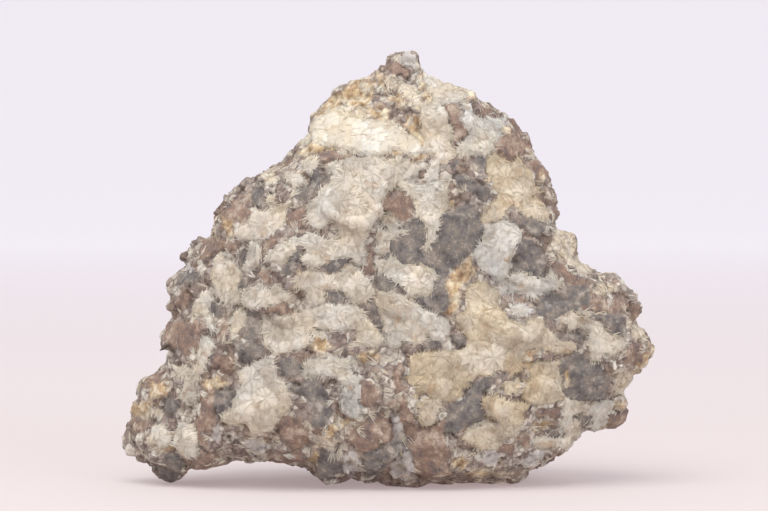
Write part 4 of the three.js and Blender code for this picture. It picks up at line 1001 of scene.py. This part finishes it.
def crust_needles(name, depth):
    used, faces = mat_faces(depth)
    stars = star_middles(name, used[depth[used] > INNER_DEPTH]) or [(used[depth[used].argmax()], LONE_STAR)]
    to_stars = np.array([np.linalg.norm(places[used] - places[i], axis=1) for i, _ in stars])
    owner = to_stars.argmin(axis=0)
    nearest, second = two_nearest(to_stars)
    skin = domed_skin(depth, used, nearest, second)
    star_tones = random.random(len(stars))
    pile = Pile(BVHTree.FromPolygons([tuple(point * MM) for point in skin], faces.tolist()))
    origins = [places[stars[k][0]] for k in owner]
    pile.add(skin, faces.tolist(), star_tones[owner], [SKIN_SHARE] * len(skin), origins)
    middles, outwards = [], []
    for k, (i, length) in enumerate(stars):
        outward = normals[used[to_stars[k] < 0.7 * length]].sum(axis=0)
        outwards.append(outward / np.linalg.norm(outward))
        middles.append(skin[np.searchsorted(used, i)])
        pile.middle, pile.tone = places[i], star_tones[k]
        room = star_room(depth, used, to_stars[k], np.where(owner == k, second, nearest))
        add_star(pile, room, middles[-1], outwards[-1], length, SPARSE.get(name, 1.0))
    rim = skin[(depth[used] > 0.0) & (depth[used] < RIM_DEPTH)]
    add_edge(pile, rim, np.array(middles), np.array(outwards), star_tones)
    piece = pile.made(name.replace("wavellite", "needles"))
    piece.data.polygons.foreach_set("use_smooth", np.arange(len(pile.faces)) < len(faces))
    return piece


crust_pieces = [(crust_needles(name, mat_depth[name]), name) for name in CRUSTS]
print(len(crust_pieces), "crusts with", sum(len(piece.data.polygons) for piece, _ in crust_pieces), "faces")

# %% [markdown]
# Loose sprays on the bare stone
#
# Between the mats the stone isn't bare: small fans of a few needles sit on it here and there, and make its
# rough parts glitter. They keep off the hard fragments and the smooth scar. They are one piece, because
# none of them belongs to a packed crust.

# %% Loose sprays on the bare stone
SPRAY_COUNT, SPRAY_SPACING = 800, 1.3
SPRAY_LENGTH, SPRAY_HALF_WIDTH = (0.9, 2.6), (0.05, 0.09)
HALF_FAN = (0.15, 0.7)  # half the angle that a fan is open, in radians
FAN_NEEDLES, NEEDLES_PER_RADIAN = 6, 22
bare = (deepest < -0.4) & (inside["slate"] < -0.2) & (inside["cream"] < 0)
bare &= (places[:, 2] > 2) & (inside["brown"] < 0.2)
sprays = []
for i in random.permutation(np.flatnonzero(bare)):
    if len(sprays) == SPRAY_COUNT:
        break
    if all(np.linalg.norm(places[i] - places[j]) > SPRAY_SPACING for j in sprays):
        sprays.append(i)
pile = Pile(stone_surface)
for i in sprays:
    side, up = frame_of(normals[i])
    middle_angle, half_fan = random.uniform(0, 2 * math.pi), random.uniform(*HALF_FAN)
    length = random.uniform(*SPRAY_LENGTH)
    pile.middle, pile.tone = places[i], random.random()
    count = int(FAN_NEEDLES + NEEDLES_PER_RADIAN * half_fan)
    for angle in middle_angle + random.uniform(-half_fan, half_fan, count):
        along = side * math.cos(angle) + up * math.sin(angle)
        reach = (0.1 * length, random.uniform(0.6, 1.0) * length)
        half_width = random.uniform(*SPRAY_HALF_WIDTH)
        add_needle(pile, places[i], along, normals[i], reach, (0.1, 1.0), half_width)
loose = pile.made("loose_sprays")
print(len(sprays), "loose sprays with", len(pile.faces), "faces")

# %% [markdown]
# Wiring materials
#
# Materials are wired in code with one helper that adds a node, sets its options and joins or fills its
# inputs. The others are short names for the few nodes that are used again and again. Patterns read the
# object's own coordinates, in metres, so a noise of scale 1000 has features of about a millimetre.

# %% Helpers for materials


def put(tree, kind, inputs=None, **options):
    made = tree.nodes.new("ShaderNode" + kind)
    for option, value in options.items():
        setattr(made, option, value)
    for key, value in (inputs or {}).items():
        if isinstance(value, bpy.types.NodeSocket):
            tree.links.new(value, made.inputs[key])
        else:
            made.inputs[key].default_value = value
    return made


def colour(red, green, blue):
    return (red, green, blue, 1.0)


def ramp(tree, factor, stops):
    made = put(tree, "ValToRGB", {0: factor})
    elements = made.color_ramp.elements
    while len(elements) < len(stops):
        elements.new(0.5)
    for element, (place, shade) in zip(elements, stops):
        element.position = place
        element.color = (*shade, 1.0)
    return made.outputs["Color"]


def rising(tree, value, low, high):
    """Black below one value, white above another."""
    return ramp(tree, value, [(low, (0, 0, 0)), (high, (1, 1, 1))])


def falling(tree, value, low, high):
    return ramp(tree, value, [(low, (1, 1, 1)), (high, (0, 0, 0))])


def mix(tree, factor, first, second, blend="MIX"):
    made = put(tree, "Mix", {0: factor, 6: first, 7: second}, data_type="RGBA", blend_type=blend)
    return made.outputs[2]


def times(tree, value, factor, add=0.0):
    return put(tree, "Math", {0: value, 1: factor, 2: add}, operation="MULTIPLY_ADD").outputs[0]


def plus(tree, first, second):
    return put(tree, "Math", {0: first, 1: second}, operation="ADD").outputs[0]


def noise_value(tree, where, scale, detail=4.0, roughness=0.6):
    made = put(tree, "TexNoise", {"Vector": where, "Scale": scale, "Detail": detail, "Roughness": roughness})
    return made.outputs["Fac"]


def new_material(name):
    made = bpy.data.materials.new(name)
    made.use_nodes = True
    return made, made.node_tree, made.node_tree.nodes["Principled BSDF"]


print("material helpers ready")

# %% [markdown]
# The stone's finish
#
# Dry stone is dull. Its colour comes in layers, as it would in paint. First the ground, a crowd of small
# bits, each with its own grey, brown or tan. Then the large fragments by kind, then what lies on top: a
# thin white bloom of fine needles, pale flecks, dark pits and the seams between the bits. Last comes painted
# shade in the grooves, darker where they are deeper.

# %% Noises of the stone
BITS, CRUMBS = 640.0, 1700.0  # bits of the ground to a metre, larger and smaller
stone, tree, stone_shader = new_material("broken_stone")
where = put(tree, "TexCoord").outputs["Object"]
coarse = noise_value(tree, where, 260.0)
blotch = noise_value(tree, where, 520.0, 4.0, 0.65)
fine = noise_value(tree, where, 1100.0, 6.0, 0.75)
speck = noise_value(tree, where, 3000.0, 3.0, 0.7)
grit = noise_value(tree, where, 4200.0, 4.0, 0.8)
drift = put(tree, "TexNoise", {"Vector": where, "Scale": 900.0, "Detail": 3.0}).outputs["Color"]
drift = put(tree, "VectorMath", {0: drift, "Scale": 0.7 * MM}, operation="SCALE").outputs[0]
warped = put(tree, "VectorMath", {0: where, 1: drift}, operation="ADD").outputs[0]
bits = put(tree, "TexVoronoi", {"Vector": warped, "Scale": BITS}).outputs["Color"]
crumbs = put(tree, "TexVoronoi", {"Vector": warped, "Scale": CRUMBS}).outputs["Color"]
joint = put(tree, "TexVoronoi", {"Vector": warped, "Scale": BITS}, feature="DISTANCE_TO_EDGE")
print("stone bits are about", round(1000 / BITS, 1), "mm wide")

# %% Ground between the fragments
GROUND = [
    (0.05, (0.16, 0.125, 0.11)), (0.2, (0.26, 0.20, 0.168)), (0.36, (0.39, 0.31, 0.25)),
    (0.5, (0.31, 0.27, 0.245)), (0.64, (0.51, 0.45, 0.37)), (0.78, (0.69, 0.64, 0.54)),
    (1.0, (0.77, 0.73, 0.63)),
]
IRON = colour(0.38, 0.235, 0.13)
own = put(tree, "SeparateColor", {0: bits}).outputs[0]
small = put(tree, "SeparateColor", {0: crumbs}).outputs[0]
toned = plus(tree, times(tree, own, 0.75), times(tree, small, 0.4, -0.08))
toned = plus(tree, toned, times(tree, fine, 0.5, -0.25))
ground = ramp(tree, toned, GROUND)
ground = mix(tree, times(tree, rising(tree, coarse, 0.5, 0.66), 0.4), ground, IRON)
print("the ground has", len(GROUND), "tones")

# %% [markdown]
# Fragments by kind
#
# Each kind of fragment has a ramp of its own, from the dark of its pits to the pale of its bruises. The
# stored distance inside its outlines gets a little noise before it is cut to a mask, which makes a crisp
# ragged edge. Stain and scars have a softer edge than the hard fragments.

# %% Colours of the fragments
KIND_TONES = {
    "pale": [(0.2, (0.36, 0.33, 0.30)), (0.5, (0.52, 0.48, 0.44)), (0.8, (0.66, 0.63, 0.59))],
    "brown": [(0.15, (0.10, 0.078, 0.072)), (0.38, (0.205, 0.15, 0.128)), (0.52, (0.255, 0.172, 0.125)),
              (0.65, (0.32, 0.225, 0.165)), (0.85, (0.50, 0.41, 0.32))],
    "slate": [(0.15, (0.06, 0.052, 0.05)), (0.4, (0.132, 0.117, 0.108)), (0.55, (0.19, 0.171, 0.152)),
              (0.68, (0.235, 0.195, 0.155)), (0.85, (0.40, 0.36, 0.31))],
    "cream": [(0.2, (0.50, 0.40, 0.27)), (0.5, (0.66, 0.57, 0.42)), (0.8, (0.76, 0.70, 0.58))],
    "ochre": [(0.15, (0.17, 0.11, 0.065)), (0.36, (0.38, 0.25, 0.13)), (0.54, (0.58, 0.43, 0.25)),
              (0.75, (0.80, 0.71, 0.52))],
}
EDGE_SOFTNESS = {"cream": 0.3, "ochre": 0.3}
HARD_EDGE = 0.12  # in mm, as the softer ones are
RUST = colour(0.27, 0.19, 0.14)


def edge_mask(kind, softness=HARD_EDGE):
    """One inside the outlines of a kind and zero outside, with an edge that the noise makes ragged."""
    stored = put(tree, "Attribute", attribute_name=kind).outputs["Fac"]
    ragged = plus(tree, stored, wobble)
    cut = put(tree, "MapRange", {"Value": ragged, "From Min": -softness, "From Max": softness})
    return cut.outputs["Result"]


wobble = times(tree, fine, 2.0, -1.0)
varied = plus(tree, times(tree, fine, 0.7, -0.15), times(tree, grit, 0.6))
varied = plus(tree, varied, times(tree, blotch, 1.7, -0.8))
seen = ground
for kind, tones in KIND_TONES.items():
    toned = ramp(tree, varied, tones)
    if kind == "slate":
        toned = mix(tree, times(tree, rising(tree, coarse, 0.55, 0.72), 0.35), toned, RUST)
    seen = mix(tree, edge_mask(kind, EDGE_SOFTNESS.get(kind, HARD_EDGE)), seen, toned)
print("fragments of", len(KIND_TONES), "kinds are coloured")

# %% [markdown]
# What lies on the stone
#
# The last layers are small things that every broken face has, and painted shade. Seams are drawn in the
# ground only, because a hard fragment has none. The painted shade darkens the grooves that were carved, so
# shade and shape agree.

# %% Bloom, flecks, pits, seams and painted shade in the grooves
bloom = rising(tree, noise_value(tree, where, 750.0, 6.0, 0.75), 0.56, 0.66)
seen = mix(tree, times(tree, bloom, 0.4), seen, colour(0.58, 0.53, 0.46))
seen = mix(tree, times(tree, rising(tree, speck, 0.64, 0.74), 0.35), seen, colour(0.66, 0.62, 0.56))
seen = mix(tree, times(tree, falling(tree, speck, 0.26, 0.36), 0.5), seen, colour(0.10, 0.08, 0.07))
whole = edge_mask("brown")
for kind in ("slate", "ochre", "pale"):
    whole = put(tree, "Math", {0: whole, 1: edge_mask(kind)}, operation="MAXIMUM").outputs[0]
seam = falling(tree, joint.outputs["Distance"], 0.0, 0.06)
seam = put(tree, "Math", {0: seam, 1: times(tree, whole, -0.92, 1.0)}, operation="MULTIPLY").outputs[0]
seen = mix(tree, times(tree, seam, 0.45), seen, colour(0.13, 0.10, 0.085))
# Painted shade: the stone is darker in the carved grooves, the deeper the darker, where shade would fall
painted_groove_shade = put(tree, "Attribute", attribute_name="groove").outputs["Fac"]
seen = mix(tree, times(tree, painted_groove_shade, 1.6), seen, colour(0.13, 0.095, 0.075))
print("stone material has", len(tree.nodes), "nodes so far")

# %% Dress the lump
tree.links.new(seen, stone_shader.inputs["Base Color"])
stone_shader.inputs["Roughness"].default_value = 0.82
height = plus(tree, plus(tree, fine, times(tree, grit, 0.5)), times(tree, seam, -0.8))
bump = put(tree, "Bump", {"Strength": 0.8, "Distance": 0.16 * MM, "Height": height})
tree.links.new(bump.outputs["Normal"], stone_shader.inputs["Normal"])
lump.data.materials.clear()
lump.data.materials.append(stone)
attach(lump, "root")
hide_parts("matrix_rock")
print("the lump wears", stone.name)

# %% [markdown]
# Silk
#
# Wavellite is silky: white where it is fresh, warm cream where iron touched it, and a little glassy. Up
# close a mat is all fibres that run out from each star's middle. A noise that reads only the direction from
# the middle to the point gives just that, with no texture to unwrap. Four finishes use it with colours of
# their own, so it is a node group.

# %% Fibres that run out from the middles
SILK_INPUTS = {"Where": "Vector", "Middle": "Vector", "Tone": "Float", "Share": "Float", "Deep": "Color",
               "Half": "Color", "Light": "Color"}


def new_group(name, inputs, outputs):
    group = bpy.data.node_groups.new(name, "ShaderNodeTree")
    for label, kind in inputs.items():
        group.interface.new_socket(label, in_out="INPUT", socket_type="NodeSocket" + kind)
    for label, kind in outputs.items():
        group.interface.new_socket(label, in_out="OUTPUT", socket_type="NodeSocket" + kind)
    return group, group.nodes.new("NodeGroupInput").outputs, group.nodes.new("NodeGroupOutput").inputs


silk, given, out = new_group("silk", SILK_INPUTS, {"Color": "Color", "Height": "Float"})
ray = put(silk, "VectorMath", {0: given["Where"], 1: given["Middle"]}, operation="SUBTRACT").outputs[0]
ray = put(silk, "VectorMath", {0: ray}, operation="NORMALIZE").outputs[0]
fibres = noise_value(silk, ray, 14.0, 4.0, 0.75)
felt = noise_value(silk, given["Where"], 2400.0, 4.0, 0.7)
patch = noise_value(silk, given["Where"], 300.0, 3.0)
silk.links.new(plus(silk, fibres, times(silk, felt, 0.2)), out["Height"])
print("the silk group takes", ", ".join(SILK_INPUTS))

# %% Colour of the silk
CHILL = [(0.35, (0.94, 0.955, 0.975)), (0.5, (0.98, 0.965, 0.94)), (0.65, (1.0, 0.95, 0.85))]
blend = plus(silk, times(silk, given["Tone"], 0.5), times(silk, patch, 0.6, -0.85))
blend = plus(silk, blend, times(silk, fibres, 1.6))
blend = plus(silk, blend, times(silk, felt, 0.25, -0.1))
low = put(silk, "MapRange", {"Value": blend, "From Min": 0.1, "From Max": 0.42}).outputs["Result"]
high = put(silk, "MapRange", {"Value": blend, "From Min": 0.42, "From Max": 0.8}).outputs["Result"]
seen = mix(silk, high, mix(silk, low, given["Deep"], given["Half"]), given["Light"])
chill = ramp(silk, noise_value(silk, given["Where"], 170.0, 3.0), CHILL)
seen = mix(silk, 1.0, seen, chill, "MULTIPLY")
rust = rising(silk, noise_value(silk, given["Where"], 420.0, 5.0, 0.65), 0.57, 0.68)
seen = mix(silk, times(silk, rust, 0.55), seen, colour(0.52, 0.34, 0.18))
near_middle = {"Value": given["Share"], "From Min": 0.0, "From Max": 0.4, "To Min": 0.3, "To Max": 0.0}
heart = put(silk, "MapRange", near_middle)
seen = mix(silk, heart.outputs["Result"], seen, given["Deep"])
silk.links.new(seen, out["Color"])
print("the silk group has", len(silk.nodes), "nodes")

# %% Four needle finishes
FINISH_TONES = {
    "white_needles": ((0.43, 0.37, 0.29), (0.71, 0.655, 0.55), (0.88, 0.83, 0.725)),
    "warm_needles": ((0.41, 0.32, 0.21), (0.66, 0.57, 0.425), (0.83, 0.75, 0.595)),
    "cool_needles": ((0.42, 0.39, 0.34), (0.66, 0.63, 0.56), (0.83, 0.81, 0.745)),
    "cream_needles": ((0.60, 0.51, 0.37), (0.78, 0.72, 0.59), (0.87, 0.84, 0.74)),
}


def needle_material(name, tones):
    material, tree, shader = new_material(name)
    use = tree.nodes.new("ShaderNodeGroup")
    use.node_tree = silk
    tree.links.new(put(tree, "TexCoord").outputs["Object"], use.inputs["Where"])
    for label, output in (("Middle", "Vector"), ("Tone", "Fac"), ("Share", "Fac")):
        stored = put(tree, "Attribute", attribute_name=label.lower())
        tree.links.new(stored.outputs[output], use.inputs[label])
    for label, tone in zip(("Deep", "Half", "Light"), tones):
        use.inputs[label].default_value = colour(*tone)
    tree.links.new(use.outputs["Color"], shader.inputs["Base Color"])
    shader.inputs["Roughness"].default_value = 0.5
    shader.inputs["Sheen Weight"].default_value = 0.15
    bump = put(tree, "Bump", {"Strength": 0.9, "Distance": 0.16 * MM, "Height": use.outputs["Height"]})
    tree.links.new(bump.outputs["Normal"], shader.inputs["Normal"])
    return material


finishes = {name: needle_material(name, tones) for name, tones in FINISH_TONES.items()}
print("made", ", ".join(finishes))

# %% Dress the crusts
WEARS = {
    "cream_needles": ("shoulder",),
    "warm_needles": ("field", "lower_right", "pale", "temple"),
    "cool_needles": ("brow", "pillar", "fringe", "hollow"),
}
finish_of = {"wavellite_" + crust: finish for finish, crusts in WEARS.items() for crust in crusts}
for piece, name in crust_pieces:
    piece.data.materials.append(finishes[finish_of.get(name, "white_needles")])
    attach(piece, "root")
    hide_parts(name)
loose.data.materials.append(finishes["white_needles"])
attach(loose, "root")
print("needle finishes on", len(crust_pieces) + 1, "pieces")

# %% [markdown]
# Floor and wall
#
# The photograph is high-key: a pale floor that runs into a pale wall with no line between them. A studio
# does that with a sheet of paper that bends up behind the thing. The sheet is wide and reaches far in
# front, so that it fills the view from every side. A little light of its own keeps it pale where the lamps
# don't reach.

# %% Floor and wall
WALL_AWAY, BEND, WALL_HEIGHT = 1.6, 0.6, 2.0  # in metres
FLOOR_FRONT, HALF_WIDTH = -1.8, 2.2
BEND_STEPS = 18
TURNS = [math.radians(90 * step / BEND_STEPS) for step in range(BEND_STEPS + 1)]
GLOW_NEAR, GLOW_FAR = colour(0.31, 0.25, 0.255), colour(0.49, 0.47, 0.525)
sweep = [(FLOOR_FRONT, 0.0)]
sweep += [(WALL_AWAY - BEND + BEND * math.sin(turn), BEND - BEND * math.cos(turn)) for turn in TURNS]
sweep.append((WALL_AWAY, WALL_HEIGHT))
floor_points = [(x, y, z) for y, z in sweep for x in (-HALF_WIDTH, HALF_WIDTH)]
floor_faces = [(2 * i, 2 * i + 1, 2 * i + 3, 2 * i + 2) for i in range(len(sweep) - 1)]
floor = mesh_object("floor", floor_points, floor_faces)
floor.data.shade_smooth()
paper, tree, shader = new_material("pale_paper")
depth = put(tree, "SeparateXYZ", {0: put(tree, "TexCoord").outputs["Object"]}).outputs["Y"]
away = put(tree, "MapRange", {"Value": depth, "From Min": 0.1, "From Max": 1.0}).outputs["Result"]
tree.links.new(mix(tree, away, GLOW_NEAR, GLOW_FAR), shader.inputs["Emission Color"])
shader.inputs["Emission Strength"].default_value = 1.0
shader.inputs["Base Color"].default_value = colour(0.42, 0.40, 0.385)
shader.inputs["Roughness"].default_value = 0.9
floor.data.materials.append(paper)
print("the paper sweep has", len(floor_faces), "faces")

# %% [markdown]
# Light and camera
#
# The light in the photograph is that of a large window above and in front, with a cool fill from the right
# and an even glow all round. Two disks of light and a pale world give it. Smaller lamps would draw hard
# shadows between the needles. The camera is the one that the outlines were drawn from.

# %% Lights
LIT_SPOT = (0, 0, 0.03)


def area_light(name, place, size, power, tint):
    data = bpy.data.lights.new(name, "AREA")
    data.shape = "DISK"
    data.size = size
    data.energy = power
    data.color = tint
    light = bpy.data.objects.new(name, data)
    bpy.context.collection.objects.link(light)
    light.location = place
    light.rotation_euler = (Vector(LIT_SPOT) - Vector(place)).to_track_quat("-Z", "Y").to_euler()


area_light("window", (-0.15, -0.30, 0.75), size=0.8, power=5.0, tint=(1.0, 0.975, 0.94))
area_light("fill", (0.45, -0.60, 0.25), size=0.6, power=1.6, tint=(0.93, 0.94, 1.0))
world = bpy.data.worlds.new("room")
world.use_nodes = True
world.node_tree.nodes["Background"].inputs["Color"].default_value = colour(0.93, 0.92, 1.0)
world.node_tree.nodes["Background"].inputs["Strength"].default_value = 0.8
bpy.context.scene.world = world
bpy.context.scene.view_settings.view_transform = "Standard"
print("two lights and the room's glow set")

# %% Camera
camera = bpy.data.objects.new("camera", bpy.data.cameras.new("camera"))
bpy.context.collection.objects.link(camera)
camera.data.lens = LENS
camera.data.sensor_width = SENSOR_WIDTH
camera.location = (AIM + towards_camera * DISTANCE) * MM
camera.rotation_euler = (-towards_camera).to_track_quat("-Z", "Y").to_euler()
camera.data.clip_start = 0.01
bpy.context.scene.camera = camera
print("camera", round(DISTANCE), "mm away")

# %% Sizes and the end
print("solids", [tuple(round(1000 * c, 1) for c in v) for v in solid_box])
